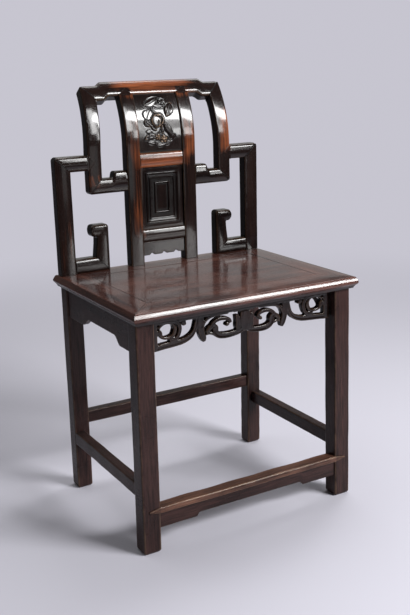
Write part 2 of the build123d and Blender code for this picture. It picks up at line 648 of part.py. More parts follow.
def make_fret():
    # Outer stile and shoulder rail, mitred at the rounded top corner.
    corner = (outer_stile_outer, shoulder_top)
    inner = (outer_stile_inner, shoulder_bottom)
    rounding = round_corner(corner, -1, -1, fret_corner_round)
    stile = outline([(outer_stile_inner, seat_height), (outer_stile_outer, seat_height), corner, inner])
    halves["outer_stile"] = fret_piece(stile - rounding)
    rail = outline([(upper_stile_outer, shoulder_bottom), inner, corner, (upper_stile_outer, shoulder_top)])
    halves["shoulder_rail"] = fret_piece(rail - rounding)
    third = shoulder_height / 3
    join("shoulder_rail", ["outer_stile"],
         (outer_stile_inner + tenon_root, outer_stile_inner + outer_stile_width * 0.65), tenon_y,
         (shoulder_bottom + third / 2, shoulder_bottom + third * 1.5))

    # Foot rail on the seat, butted to the outer stile.
    mitre_foot = (inner_upright_inner, seat_height)
    mitre_head = (inner_upright_outer + inner_upright_flare, foot_rail_top)
    rail = outline([
        mitre_foot, (outer_stile_inner, seat_height), (outer_stile_inner, foot_rail_top), mitre_head])
    halves["foot_rail"] = fret_piece(rail)
    third = foot_rail_height / 3
    foot_tenon_z = (seat_height + third, seat_height + 2 * third)
    join("foot_rail", ["outer_stile"],
         (outer_stile_inner - tenon_root, outer_stile_inner + outer_stile_width / 2), tenon_y, foot_tenon_z)

    # Inner upright, mitred to the foot rail, with a hook turned outward at its top.
    hook_round = (inner_upright_top - hook_bottom) / 2
    crook = small_corner_round * 1.5
    upright = make_face([
        Line(mitre_foot, (inner_upright_inner, inner_upright_top - fret_corner_round)),
        RadiusArc((inner_upright_inner, inner_upright_top - fret_corner_round),
                  (inner_upright_inner + fret_corner_round, inner_upright_top), fret_corner_round),
        Line((inner_upright_inner + fret_corner_round, inner_upright_top),
             (hook_reach - hook_round, inner_upright_top)),
        ThreePointArc((hook_reach - hook_round, inner_upright_top),
                      (hook_reach, inner_upright_top - hook_round), (hook_reach - hook_round, hook_bottom)),
        RadiusArc((hook_reach - hook_round, hook_bottom), (inner_upright_outer, hook_bottom - crook),
                  -crook),
        Line((inner_upright_outer, hook_bottom - crook), mitre_head),
        Line(mitre_head, mitre_foot),
    ])
    halves["inner_upright"] = fret_piece(upright)
    join("foot_rail", ["inner_upright"],
         (inner_upright_inner + inner_upright_width * 0.4,
          inner_upright_outer + inner_upright_flare + tenon_root),
         tenon_y, foot_tenon_z)

    # Upper stile, which leans slightly inward and curls back to the crest rail.
    section = back_layer(0, back_thickness, seat_half)
    lean_top = bend_height + bend_radius
    rise = lean_top - upper_stile_lean_start
    crest_rise = crest_plane.origin.Z - upper_stile_lean_start
    outer_top = upper_stile_outer + (upper_stile_top_outer - upper_stile_outer) * rise / crest_rise
    inner_top = upper_stile_inner + (upper_stile_top_inner - upper_stile_inner) * rise / crest_rise
    low_corner = (upper_stile_outer, arm_bottom)
    inside = (upper_stile_inner, arm_top)
    rounding = round_corner(low_corner, -1, 1, fret_corner_round)
    stile = outline([
        low_corner, (upper_stile_outer, upper_stile_lean_start), (outer_top, lean_top),
        (inner_top, lean_top), (upper_stile_inner, upper_stile_lean_start), inside])
    stile = front_prism(stile - rounding, back_front, back_rear + bend_radius)
    halves["upper_stile"] = stile & section
    third = shoulder_height / 3
    join("shoulder_rail", ["upper_stile"],
         (upper_stile_outer - upper_stile_width * 0.7, upper_stile_outer + tenon_root),
         tenon_y, (shoulder_bottom + third, shoulder_bottom + 2 * third))
    point = outline([
        (upper_stile_outer, shoulder_bottom), (upper_stile_outer, shoulder_top),
        (upper_stile_outer - shoulder_height / 2, shoulder_bottom + shoulder_height / 2)])
    point = front_prism(point, back_front, back_front + shoulder_point_depth)
    cut("upper_stile", point)
    add("shoulder_rail", point)

    # Curled arm from the upper stile to the splat, mitred below and curling up at its inner end.
    curl_round = (arm_curl_top - arm_top) / 2
    curl_start = arm_curl_reach + small_corner_round
    arm = make_face([
        Polyline(inside, low_corner, (splat_outer, arm_bottom),
                 (splat_outer, arm_curl_top - small_corner_round)),
        RadiusArc((splat_outer, arm_curl_top - small_corner_round),
                  (splat_outer + small_corner_round, arm_curl_top), small_corner_round),
        Line((splat_outer + small_corner_round, arm_curl_top), (arm_curl_reach - curl_round, arm_curl_top)),
        RadiusArc((arm_curl_reach - curl_round, arm_curl_top), (arm_curl_reach, arm_curl_top - curl_round),
                  curl_round),
        Line((arm_curl_reach, arm_curl_top - curl_round), (arm_curl_reach, arm_top + small_corner_round)),
        RadiusArc((arm_curl_reach, arm_top + small_corner_round), (curl_start, arm_top),
                  -small_corner_round),
        Line((curl_start, arm_top), inside),
    ])
    halves["curled_arm"] = fret_piece(arm - rounding)
    third = arm_height / 3
    join("curled_arm", ["upper_stile"],
         (upper_stile_inner - tenon_root, upper_stile_inner + upper_stile_width * 0.65),
         tenon_y, (arm_bottom + third * 1.4, arm_bottom + third * 2.4))


# ---- Back: the splat -----------------------------------------------------------------------
def make_splat():
    section = back_layer(0, back_thickness, seat_half)
    tall = bend_height + bend_radius
    depth = (back_front, back_rear + bend_radius)
    halves["splat_stile"] = block((splat_inner, splat_outer), depth, (seat_height, tall)) & section
    for name, low, high in (("splat_mid_rail", mid_rail_bottom, mid_rail_top),
                            ("splat_low_rail", low_rail_bottom, low_rail_top)):
        middles[name] = block((-splat_inner, splat_inner), (back_front, back_rear), (low, high))
        middle = (low + high) / 2
        join(name, ["splat_stile"],
             (splat_inner - tenon_root, splat_inner + splat_rail_tenon_length), tenon_y,
             (middle - splat_rail_tenon_height / 2, middle + splat_rail_tenon_height / 2))


def panel_between(near, far, low, high, half_width):
    """A board in the plane of the back between two heights; high may be the crest rail."""
    board = back_layer(near, far, half_width, base=low)
    if high is None:
        above = Rectangle(4 * half_width, 4 * crest_face)
        return board - crest_prism(Pos(0, 2 * crest_face - crest_half_face + splat_groove) * above)
    return board & block((-half_width, half_width), (back_front, back_rear), (low, high))


def make_splat_panels():
    half_width = splat_inner + splat_groove
    near, far = splat_panel_setback, splat_panel_setback + splat_panel_thickness
    low = mid_rail_top - splat_groove
    carved = panel_between(near, far, low, None, half_width)
    groove = panel_between(near - slack, far + slack, low - slack, None, half_width + slack)
    middles["carved_panel"] = carved
    cut("splat_stile", groove)
    middles["splat_mid_rail"] -= groove
    middles["crest_rail"] -= groove

    near, far = coffer_setback, back_thickness - splat_panel_setback
    low, high = low_rail_top - splat_groove, mid_rail_bottom + splat_groove
    coffer = panel_between(near, far, low, high, half_width)
    groove = panel_between(near - slack, far + slack, low - slack, high + slack, half_width + slack)
    middle = (low_rail_top + mid_rail_bottom) / 2
    height = mid_rail_bottom - low_rail_top
    for margin, band in ((coffer_outer_margin, coffer_outer_band), (coffer_inner_margin, coffer_inner_band)):
        outer = Rectangle(2 * (splat_inner - margin), height - 2 * margin)
        inner = Rectangle(2 * (splat_inner - margin - band), height - 2 * (margin + band))
        ring = Pos(0, middle) * (outer - inner)
        coffer += front_prism(ring, back_front + near - coffer_relief, back_front + near + tenon_root)
    middles["coffered_panel"] = coffer
    cut("splat_stile", groove)
    middles["splat_mid_rail"] -= groove
    middles["splat_low_rail"] -= groove


def make_splat_apron():
    """The small scalloped board under the low rail."""
    low = low_rail_bottom - splat_apron_height
    near = back_front + splat_apron_setback
    far = near + splat_apron_thickness
    face = Pos(0, low + splat_apron_height / 2) * Rectangle(2 * splat_inner, splat_apron_height)
    for step in (-1, 0, 1):
        centre = step * splat_notch_spacing
        half = splat_notch_width / 2
        face -= make_face([
            ogee((centre - half, low), (centre, low + splat_notch_height)),
            ogee((centre, low + splat_notch_height), (centre + half, low)),
            Line((centre + half, low), (centre - half, low)),
        ])
    middles["splat_apron"] = front_prism(face, near, far)
    third = splat_apron_thickness / 4
    join("splat_apron", ["splat_stile"], (splat_inner - tenon_root, splat_inner + splat_groove),
         (near + third, far - third), (low + splat_apron_shoulder, low_rail_bottom - splat_apron_shoulder))
    join("splat_apron", ["splat_low_rail"], (0, splat_inner - splat_apron_shoulder),
         (near + third, far - third), (low_rail_bottom - tenon_root, low_rail_bottom + splat_groove))


# ---- Back: the crest rail ------------------------------------------------------------------
def mitre_corners():
    """The crest rail's mitre with an upper stile: inner low corner and outer top corner."""
    return (upper_stile_top_inner, crest_end_low), (upper_stile_top_outer, crest_end_top)


def crest_tenon(owner, centre, low, high, width):
    """Gives a stile a tenon up into the crest rail, between two heights on the crest plane."""
    near = (back_thickness - back_tenon_thickness) / 2
    far = near + back_tenon_thickness
    place = Pos(centre, (low + high) / 2)
    tenon = crest_prism(place * Rectangle(width, high - low))
    mortise = crest_prism(place * Rectangle(width + 2 * slack, high - low + 2 * slack))
    add(owner, tenon & back_layer(near, far, seat_half))
    cut("crest_rail", mortise & back_layer(near - slack, far + slack, seat_half))


def make_crest():
    section = back_layer(0, back_thickness, seat_half)
    inner, outer = mitre_corners()
    half_step = crest_step_run / 2
    top_ends = (crest_top_step_at - half_step, crest_top_step_at + half_step)
    low_ends = (crest_low_step_at - half_step, crest_low_step_at + half_step)
    half_face = make_face([
        Line((0, crest_half_face), (top_ends[0], crest_half_face)),
        ogee((top_ends[0], crest_half_face), (top_ends[1], crest_end_top)),
        Line((top_ends[1], crest_end_top), outer),
        Line(outer, inner),
        Line(inner, (low_ends[1], crest_end_low)),
        ogee((low_ends[1], crest_end_low), (low_ends[0], -crest_half_face)),
        Line((low_ends[0], -crest_half_face), (0, -crest_half_face)),
        Line((0, -crest_half_face), (0, crest_half_face)),
    ])
    rounding = round_corner(outer, -1, -1, crest_corner_round)
    half_rail = crest_prism(half_face - rounding) & section
    middles["crest_rail"] = half_rail + mirrored(half_rail)

    # The upper stile ends on the mitre, and its corner is rounded with the rail's.
    far_out = seat_half
    slope = (outer[1] - inner[1]) / (outer[0] - inner[0])
    past_outer = (far_out, outer[1] + slope * (far_out - outer[0]))
    ceiling = past_outer[1] + bend_radius
    above_mitre = outline([(0, inner[1]), inner, outer, past_outer, (far_out, ceiling), (0, ceiling)])
    cut("upper_stile", crest_prism(above_mitre))
    cut("upper_stile", crest_prism(rounding))
    width = (outer[0] - inner[0]) / 3
    mitre_middle = (inner[1] + outer[1]) / 2
    crest_tenon("upper_stile", (inner[0] + outer[0]) / 2, mitre_middle - width,
                mitre_middle - width / 2 + crest_tenon_length, width)

    # Splat stiles: a pointed shoulder in front, a tenon behind it.
    above = Pos(splat_outer, crest_face * 2 - crest_half_face) * Rectangle(4 * splat_outer, crest_face * 4)
    cut("splat_stile", crest_prism(above))
    centre = splat_outer - splat_stile_width / 2
    point = outline([
        (splat_inner, -crest_half_face), (splat_outer, -crest_half_face),
        (centre, -crest_half_face + crest_point_height)])
    point = crest_prism(point) & back_layer(0, shoulder_point_depth, seat_half)
    cut("crest_rail", point)
    add("splat_stile", point)
    crest_tenon("splat_stile", centre, -crest_half_face - tenon_root,
                -crest_half_face + crest_tenon_length, splat_stile_width / 2)


# ---- Feet of the back in the seat, and the loose tenons beside the splat ---------------------
def join_back_to_seat():
    z = (seat_height - seat_tenon_depth, seat_height + tenon_root)
    stile_middle = splat_outer - splat_stile_width / 2
    half = splat_stile_width * 0.3
    join("splat_stile", ["seat_rear_rail"], (stile_middle - half, stile_middle + half), tenon_y, z)
    outer_middle = outer_stile_inner + outer_stile_width * 0.32
    half = outer_stile_width * 0.22
    join("outer_stile", ["seat_rear_rail"], (outer_middle - half, outer_middle + half), tenon_y, z)
    rail_middle = (inner_upright_outer + outer_stile_inner) / 2
    join("foot_rail", ["seat_rear_rail"], (rail_middle - half, rail_middle + half), tenon_y, z)


def make_arm_pins():
    """A loose tenon lies half in each curled arm and half in the splat stile."""
    third = arm_height / 3
    z = (arm_bottom + third * 0.8, arm_bottom + third * 2.2)
    x = (splat_outer - arm_pin_length / 2, splat_outer + arm_pin_length / 2)
    halves["arm_tenon"] = block(x, tenon_y, z)
    mortise = grown(halves["arm_tenon"])
    cut("curled_arm", mortise)
    cut("splat_stile", mortise)


def export_all():
    os.makedirs("parts", exist_ok=True)
    for name, shape in middles.items():
        export_step(shape, f"parts/{name}.step")
    for name, shape in halves.items():
        export_step(shape, f"parts/{name}_right.step")
        export_step(mirrored(shape), f"parts/{name}_left.step")


make_legs()
make_seat()
join_legs_to_seat()
make_plain_aprons()
make_front_apron()
make_stretchers()
make_footrest()
make_fret()
make_splat()
make_crest()
make_splat_panels()
make_splat_apron()
join_back_to_seat()
make_arm_pins()
export_all()
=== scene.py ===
"""Looks of a hardwood side chair with a stepped fret back, a curled-over splat and a carved apron.

Every piece that shows is a surface worked out with numpy on the packed frame; the bands of the front
apron are then joined by a voxel remesh. Shapes are thought out in millimetres and put into the meshes
in metres. Each piece carries four figures that its finish reads: "grain" (distance along, across and
through the timber, in metres), "wear" (1 on an arris, 0 on a face), one of grime and painted shade (1 in a
joint or a hollow, 0 on a face; it is painted shade in the cove under the seat's nose, and partly so in the
carving's grooves) and "warmth" (1 where the red heart of the timber shows through the dark polish).
"left" is the -X side and "right" the +X side, as seen by someone facing the seat.
"""
import zlib
from math import asin, pi, radians, sin

import bpy
import numpy as np
from bpy.props import FloatProperty, FloatVectorProperty, PointerProperty
from mathutils import Matrix, Vector


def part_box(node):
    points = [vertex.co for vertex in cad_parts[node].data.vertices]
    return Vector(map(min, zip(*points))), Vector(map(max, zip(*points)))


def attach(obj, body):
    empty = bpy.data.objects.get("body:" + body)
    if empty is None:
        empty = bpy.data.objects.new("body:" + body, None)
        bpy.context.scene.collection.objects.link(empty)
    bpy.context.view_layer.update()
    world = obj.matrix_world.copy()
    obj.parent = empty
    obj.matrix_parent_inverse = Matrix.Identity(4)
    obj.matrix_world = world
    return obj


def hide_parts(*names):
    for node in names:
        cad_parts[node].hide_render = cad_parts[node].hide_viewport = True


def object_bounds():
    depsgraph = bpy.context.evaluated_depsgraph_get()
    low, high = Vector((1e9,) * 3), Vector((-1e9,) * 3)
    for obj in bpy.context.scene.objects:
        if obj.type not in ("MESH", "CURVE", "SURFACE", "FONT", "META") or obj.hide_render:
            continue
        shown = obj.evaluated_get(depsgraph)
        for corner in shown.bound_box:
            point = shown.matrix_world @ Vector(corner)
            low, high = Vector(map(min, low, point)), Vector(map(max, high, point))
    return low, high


bl_info = {
    "name": "Hardwood side chair",
    "version": (1, 0, 0),
    "blender": (4, 5, 0),
    "location": "3D View > Sidebar > Chair",
    "description": "Builds the looks of a hardwood side chair with a stepped fret back",
    "category": "Object",
}

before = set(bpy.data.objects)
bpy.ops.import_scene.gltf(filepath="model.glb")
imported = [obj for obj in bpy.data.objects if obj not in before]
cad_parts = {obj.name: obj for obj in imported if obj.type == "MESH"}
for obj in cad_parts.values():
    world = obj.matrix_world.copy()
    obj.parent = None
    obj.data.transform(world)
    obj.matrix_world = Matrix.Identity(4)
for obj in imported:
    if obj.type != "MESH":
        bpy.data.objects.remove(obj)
cad_box = [list(corner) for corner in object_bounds()]


def corners(node):
    """A node's lowest and its highest corner, in millimetres."""
    low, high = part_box(node)
    return np.array(low) * 1000, np.array(high) * 1000


# ---- Places read from the frame, in millimetres ---------------------------------------------
(_, seat_front, seat_bottom), (seat_half, panel_front, seat_top) = corners("seat_front_rail")
seat_rear = corners("seat_rear_rail")[1][1]
long_rail_width = panel_front - seat_front
panel_rear = seat_rear - long_rail_width
panel_half = corners("seat_side_rail_right")[0][0]
side_rail_width = seat_half - panel_half
(stile_inner, back_front, _), (stile_outer, back_rear, shoulder_top) = corners("outer_stile_right")
shoulder_bottom = corners("shoulder_rail_right")[0][2]
foot_rail_top = corners("foot_rail_right")[1][2]
upright_inner = corners("inner_upright_right")[0][0]
hook_reach, _, upright_top = corners("inner_upright_right")[1]
arm_bottom = corners("curled_arm_right")[0][2]
arm_curl_top = corners("curled_arm_right")[1][2]
upper_outer = corners("upper_stile_right")[1][0]
crest_outer = corners("crest_rail")[1][0]
back_thickness = back_rear - back_front
splat_inner, splat_outer = (corner[0] for corner in corners("splat_stile_right"))
mid_rail_bottom, mid_rail_top = (corner[2] for corner in corners("splat_mid_rail"))
low_rail_bottom, low_rail_top = (corner[2] for corner in corners("splat_low_rail"))
splat_apron_bottom = corners("splat_apron")[0][2]
front_leg_low, front_leg_high = corners("leg_front_right")
rear_leg_high = corners("leg_rear_right")[1]
side_apron_outer = corners("side_apron_right")[1][0]
rear_apron_low, rear_apron_high = corners("rear_apron")
front_apron_low, front_apron_high = corners("front_apron")
footrest_low, footrest_high = corners("footrest")
footrest_apron_bottom = corners("footrest_apron")[0][2]
side_stretcher_low, side_stretcher_high = corners("side_stretcher_right")
rear_stretcher_low, rear_stretcher_high = corners("rear_stretcher")

# ---- Sizes that the frame's boxes don't give, in millimetres --------------------------------
arris = 1.8                 # rounding of an edge
most_round = 0.48           # of a member's width or thickness
hairline = 1e-6             # the least width that anything is divided by
joint_vee = 0.35            # the fine vee along every joint
joint_grime = 2.5           # how far grime reaches from a joint
arris_wear, edge_wear = 0.6, 0.12           # at the start of an arris, and just off it

bend_height = seat_top + 272
bend_radius = 220.0         # of the back's front face
crest_lean = radians(33.1)
crest_half_face = 17.55
crest_step = 9.3            # how much the crest rail's middle stands above its ends
crest_crown = 2.6           # how far its face swells between its edges
corner_round = 8.0          # rounded corners of the fret
small_round = 4.0
stile_corner = (stile_outer - corner_round, shoulder_top - corner_round)
upright_outer = upright_inner + 28.7
upright_flare = 4.0
hook_height = 26.5
arm_top = arm_bottom + 32.5
upper_inner = upper_outer - 31.2
crest_inner = crest_outer - 32.6
lean_start = arm_bottom + 90.4
upper_edge_round = (2.8, 4.5, 2.4, 1.8)     # a rail's lower front, upper front, upper rear, lower rear
rail_crown = 3.6            # how far a cross rail's face swells between its edges
upper_stile_crown = 0.6
point_depth = 7.0           # how far the point of a shoulder runs in behind the face

front_leg_width, front_leg_depth = 38.4, 36.8
rear_leg_width, rear_leg_depth = 35.6, 34.0
front_foot_side, front_foot_front, rear_foot_rear = 4.8, 4.2, 4.3
sole_round, sole_round_height = 4.0, 6.0    # how far wear has rounded the soles, and up to where
foot_wear, foot_wear_height = 0.5, 30.0
apron_let_in = 1.5          # how far an apron runs into the legs
apron_height, apron_ear_height = 46.0, 63.0
side_apron_thickness = 12.0
quirk_drop = 0.8            # from the seat's top to where its nose begins to roll


# ---- Curves ---------------------------------------------------------------------------------
def line(*pairs):
    """Corner points of a flat line, as an array."""
    return np.array(pairs, dtype=float)


def straight(start, end, low, high):
    """The lower and the upper edge of a level bar, as one segment of a member."""
    return line((start, low), (end, low)), line((start, high), (end, high))


def arc(centre, radius, start, end, count=9):
    """Part of a circle between two angles in degrees: centre + radius * (cos, sin)."""
    turn = np.radians(np.linspace(start, end, count))
    return np.column_stack([centre[0] + radius * np.cos(turn), centre[1] + radius * np.sin(turn)])


def full_arc(centre, radius, start, end, count=11, fullness=0.58):
    """An arc squared off a little: centre + radius * (|cos| ** fullness, |sin| ** fullness), signed."""
    turn = np.radians(np.linspace(start, end, count))
    c, s = np.cos(turn), np.sin(turn)
    return np.column_stack([centre[0] + radius * np.sign(c) * np.abs(c) ** fullness,
                            centre[1] + radius * np.sign(s) * np.abs(s) ** fullness])


def ogee(start, end, count=13):
    """A smooth step, level at both ends: height = start + rise * t * t * (3 - 2 t)."""
    t = np.linspace(0, 1, count)
    return np.column_stack([
        start[0] + (end[0] - start[0]) * t, start[1] + (end[1] - start[1]) * t * t * (3 - 2 * t)])


def run_of(path):
    """Distance of each point of a line from its start."""
    steps = np.linalg.norm(np.diff(path, axis=0), axis=1)
    return np.concatenate([[0], np.cumsum(steps)])


def at_distances(path, run, distances):
    """Points of a line at the given distances from its start."""
    return np.column_stack([np.interp(distances, run, column) for column in path.T])


def smooth_line(knots, count):
    """A curve through its knots: a Catmull-Rom cubic between each two of them."""
    knots = np.asarray(knots, dtype=float)
    padded = np.vstack([2 * knots[0] - knots[1], knots, 2 * knots[-1] - knots[-2]])
    place = np.linspace(0, len(knots) - 1 - 1e-9, count)
    first = place.astype(int)
    t = (place - first)[:, None]
    p0, p1, p2, p3 = (padded[first + step] for step in range(4))
    return 0.5 * (2 * p1 + (p2 - p0) * t + (2 * p0 - 5 * p1 + 4 * p2 - p3) * t ** 2
                  + (3 * p1 - p0 - 3 * p2 + p3) * t ** 3)


def paired(segments, step):
    """Two edges of a member, walked together. Each segment is a pair of lines, one on either edge,
    and both get points at the same shares of their lengths: their own corners, and even steps. Points
    that hardly move on from the one before are left out."""
    least_move = 0.02
    firsts, seconds = [], []
    for first, second in segments:
        first, second = np.asarray(first, float), np.asarray(second, float)
        runs = run_of(first), run_of(second)
        longest = max(run[-1] for run in runs)
        shares = [run / max(run[-1], 1e-9) for run in runs]
        shares.append(np.linspace(0, 1, int(longest / step) + 2))
        shares = np.unique(np.round(np.concatenate(shares), 4))
        firsts.append(at_distances(first, runs[0], shares * runs[0][-1]))
        seconds.append(at_distances(second, runs[1], shares * runs[1][-1]))
    first, second = np.vstack(firsts), np.vstack(seconds)
    moved = np.abs(np.diff(first, axis=0)).sum(1) + np.abs(np.diff(second, axis=0)).sum(1)
    keep = np.concatenate([[True], moved > least_move])
    return first[keep], second[keep]


# ---- Surfaces -------------------------------------------------------------------------------
def ring(flat_steps=1, turn_steps=4):
    """A rounded rectangle as weights. A point of it lies at side * width + share * radius + off *
    fade, where fade is how far wear spreads from an arris. Returns side, share and off in both
    directions, wear, and the number of the nearest corner."""
    squares = np.array([(0, 0), (1, 0), (1, 1), (0, 1)], dtype=float)
    headings = np.roll(squares, -1, axis=0) - squares
    turn = np.linspace(0, pi / 2, turn_steps + 1)
    level = np.zeros(2)
    rows = []
    for corner in range(4):
        arrive, leave = headings[corner - 1], headings[corner]
        after = (corner + 1) % 4
        for angle in turn:
            share = -arrive * (1 - np.sin(angle)) + leave * (1 - np.cos(angle))
            worn = arris_wear + (1 - arris_wear) * np.sin(2 * angle)
            rows.append((*squares[corner], *share, *level, worn, corner))
        rows.append((*squares[corner], *leave, *leave, edge_wear, corner))
        for part in np.linspace(0, 1, flat_steps + 2)[1:-1]:
            rows.append((*(squares[corner] + leave * part), *level, *level, 0, corner))
        rows.append((*squares[after], *-leave, *-leave, edge_wear, after))
    table = np.array(rows)
    return table[:, 0:2], table[:, 2:4], table[:, 4:6], table[:, 6], table[:, 7].astype(int)


def quads(rows, columns, closed):
    """Faces of a grid of points, row by row; closed joins its last column to its first."""
    row = np.arange(rows - 1)[:, None] * columns
    column = np.arange(columns if closed else columns - 1)[None, :]
    after = (column + 1) % columns
    return np.stack([row + column, row + after, row + columns + after, row + columns + column],
                    axis=-1).reshape(-1, 4)


def tube(loops, grain, wear, grime):
    """Cross-sections joined into one closed skin. loops[i, j] is point j of section i."""
    rows, columns = loops.shape[:2]
    first_cap = np.arange(columns)
    return {"points": loops.reshape(-1, 3), "faces": quads(rows, columns, closed=True),
            "caps": [first_cap[::-1], first_cap + (rows - 1) * columns], "grain": grain.reshape(-1, 3),
            "wear": wear.reshape(-1), "grime": grime.reshape(-1)}


def value_at(value, first, second):
    """A size that may be a number or a function of the two edges."""
    return np.broadcast_to(value(first, second) if callable(value) else value, len(first)).astype(float)


def member(segments, near, far, place, radius=arris, step=5.0, vees=(True, True), flat_steps=1, fade=2.2,
           arch=0.0):
    """A length of timber between two edges drawn in a plane, and between two depths from it.
    Each cross-section is a rounded rectangle from edge to edge and from near to far; its rounding is
    measured square to the edges, so that it stays even where the ends are mitred. Arch lifts the near
    face by arch * 4 u (1 - u) across the member. Place turns (p, q, depth) into a point in space."""
    first, second = paired(segments, step)
    run = run_of((first + second) / 2)
    from_joint = [joint_vee, joint_grime]
    extra = [mark for mark in from_joint if vees[0]] + [run[-1] - mark for mark in from_joint if vees[1]]
    stations = np.unique(np.round(np.concatenate([run, extra]), 3))
    first, second = at_distances(first, run, stations), at_distances(second, run, stations)
    run = run_of((first + second) / 2)
    out_of_reach = 99.0
    start_gap, end_gap = (0.0 if vee else out_of_reach for vee in vees)
    from_end = np.minimum(run + start_gap, run[-1] - run + end_gap)
    inset = np.clip(joint_vee - from_end, 0, joint_vee)

    between = second - first
    width = np.maximum(np.linalg.norm(between, axis=1), hairline)
    heading = between / width[:, None]
    slants = []
    sharpest = 0.4          # sine of the sharpest mitre that the rounding follows
    for edge in (first, second):
        tangent = np.gradient(edge, axis=0)
        length = np.maximum(np.linalg.norm(tangent, axis=1), 1e-9)
        square = np.abs(tangent[:, 0] * heading[:, 1] - tangent[:, 1] * heading[:, 0]) / length
        slants.append(1 / np.clip(square, sharpest, 1))
    near, far = value_at(near, first, second), value_at(far, first, second)
    thick = far - near
    true_width = width / np.maximum(slants[0], slants[1])

    side, share, off, wear, corner = ring(flat_steps)
    radii = radius if isinstance(radius, tuple) else (radius,) * 4
    limit = most_round * np.minimum(true_width, thick)
    rounding = np.stack([np.minimum(value_at(one, first, second), limit) for one in radii], axis=1)[:, corner]
    spare_across = np.clip(true_width[:, None] * most_round - rounding, 0, fade)
    spare_through = np.clip(thick[:, None] * most_round - rounding, 0, fade)
    slant = np.where(side[:, 0] < 0.5, slants[0][:, None], slants[1][:, None])
    inward = np.sign(0.5 - side)
    across = side[:, 0] * width[:, None] + slant * (
        share[:, 0] * rounding + off[:, 0] * spare_across + inward[:, 0] * inset[:, None])
    through = side[:, 1] * thick[:, None] + share[:, 1] * rounding + off[:, 1] * spare_through
    through = through + inward[:, 1] * inset[:, None]
    part = np.clip(across / width[:, None], 0, 1)
    lift = arch * 4 * part * (1 - part) * (1 - through / np.maximum(thick[:, None], hairline))
    flat = first[:, None, :] + heading[:, None, :] * across[..., None]
    loops = place(flat[..., 0], flat[..., 1], near[:, None] + through - lift)
    grain = np.stack([np.broadcast_to(run[:, None], across.shape), across, through], axis=-1)
    grime = np.clip(1 - from_end / joint_grime, 0, 1)[:, None] * np.ones_like(across)
    return tube(loops, grain, np.broadcast_to(wear, across.shape), grime)


def moved(patch, points):
    """The same patch with its points in other places."""
    return {**patch, "points": points}


def mirrored(patch, side):
    """The same patch for the right side (1) or, turned over, for the left side (-1)."""
    return moved(patch, patch["points"] * np.array([side, 1, 1]))


def waver(places, amount, name):
    """Unevenness of hand work: long sine waves in directions drawn from the piece's name."""
    waves, shortest, longest = 5, 30, 140
    chance = np.random.default_rng(zlib.crc32(name.encode()))
    wavered = places.copy()
    for _ in range(waves):
        direction = chance.normal(size=3)
        direction /= np.linalg.norm(direction)
        wavelength = chance.uniform(shortest, longest)
        phase = chance.uniform(0, 2 * pi)
        wave = np.sin(places @ direction * (2 * pi / wavelength) + phase)
        wavered += amount * 0.5 * wave[:, None] * chance.normal(size=3)
    return wavered


def signed_volume(places, faces):
    """Six times the volume inside the faces, negative where they are inside out."""
    a, b, c, d = (places[faces[:, column]] for column in range(4))
    return np.einsum("ij,ij->", a, np.cross(b, c)) + np.einsum("ij,ij->", a, np.cross(c, d))


# Where the red heart of the timber shows on the back: a place as (x, z) in millimetres, how far it
# reaches along x and z, and how much of it shows. Less than none darkens what lies under it.
warm_spots = [
    ((4, 893), (98, 27), 0.66), ((-68, 882), (11, 7), -0.8), ((68, 882), (11, 7), -0.8),
    ((0, 734), (60, 18), 0.95), ((71, 782), (17, 44), 0.58), ((60, 680), (10, 66), 0.2),
    ((-69, 785), (17, 48), 0.46), ((-63, 665), (16, 100), 0.56), ((168, 788), (17, 50), 0.95),
    ((-166, 698), (15, 14), 0.3), ((-236, 560), (14, 60), 0.26), ((0, 650), (14, 42), 0.1),
]


def warmth_at(places):
    """Sum of soft-edged spots, each amount * exp(-(dx / reach) ** 6 - (dz / reach) ** 6)."""
    warmth = np.zeros(len(places))
    for centre, reach, amount in warm_spots:
        gap = (places[:, [0, 2]] - centre) / reach
        warmth += amount * np.exp(-(gap ** 6).sum(1))
    return np.clip(warmth, 0, 1)


def put_figures(mesh, grain, wear, grime, warmth):
    """Writes the four figures that the finishes read onto the mesh's points."""
    for name, kind, key, values in (
            ("grain", "FLOAT_VECTOR", "vector", grain), ("wear", "FLOAT", "value", wear),
            ("grime", "FLOAT", "value", grime), ("warmth", "FLOAT", "value", warmth)):
        layer = mesh.attributes.new(name, kind, "POINT")
        layer.data.foreach_set(key, np.ascontiguousarray(values, dtype=np.float32).ravel())


def make_piece(node, patches, wood, uneven=0.1, sharp=34.0, warm=1.0):
    """One mesh object from its patches, riding on the chair in place of a node. Patches that are inside
    out are turned. Wood names its finish, uneven is the amount of its waver in millimetres, sharp the
    angle in degrees from which an edge is shaded as a crease, and warm how much of the red heart shows
    where the warm spots lie."""
    name = f"{node}_wood"
    figures = {key: [] for key in ("points", "grain", "wear", "grime")}
    grain_range = 4         # metres of timber that pieces are cut from
    offset = np.random.default_rng(zlib.crc32(name.encode())).uniform(0, grain_range, 3)
    faces, caps = [], []
    count = 0
    for patch in patches:
        inside_out = signed_volume(patch["points"] - patch["points"].mean(0), patch["faces"]) < 0
        order = slice(None, None, -1 if inside_out else 1)
        faces += (patch["faces"][:, order] + count).tolist()
        caps += [(cap[order] + count).tolist() for cap in patch["caps"]]
        for key, values in figures.items():
            values.append(patch[key])
        count += len(patch["points"])
    points, grain, wear, grime = (np.concatenate(values) for values in figures.values())
    places = np.clip(waver(points, uneven, name) / 1000, cad_box[0], cad_box[1])
    mesh = bpy.data.meshes.new(name)
    mesh.from_pydata(places, [], faces + caps)
    put_figures(mesh, grain / 1000 + offset, wear, grime, warm * warmth_at(places * 1000))
    mesh.polygons.foreach_set("use_smooth", np.ones(len(mesh.polygons), dtype=bool))
    mesh.set_sharp_from_angle(angle=radians(sharp))
    mesh.materials.append(bpy.data.materials[wood])
    piece = bpy.data.objects.new(name, mesh)
    bpy.context.scene.collection.objects.link(piece)
    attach(piece, "root")
    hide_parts(node)
    return piece


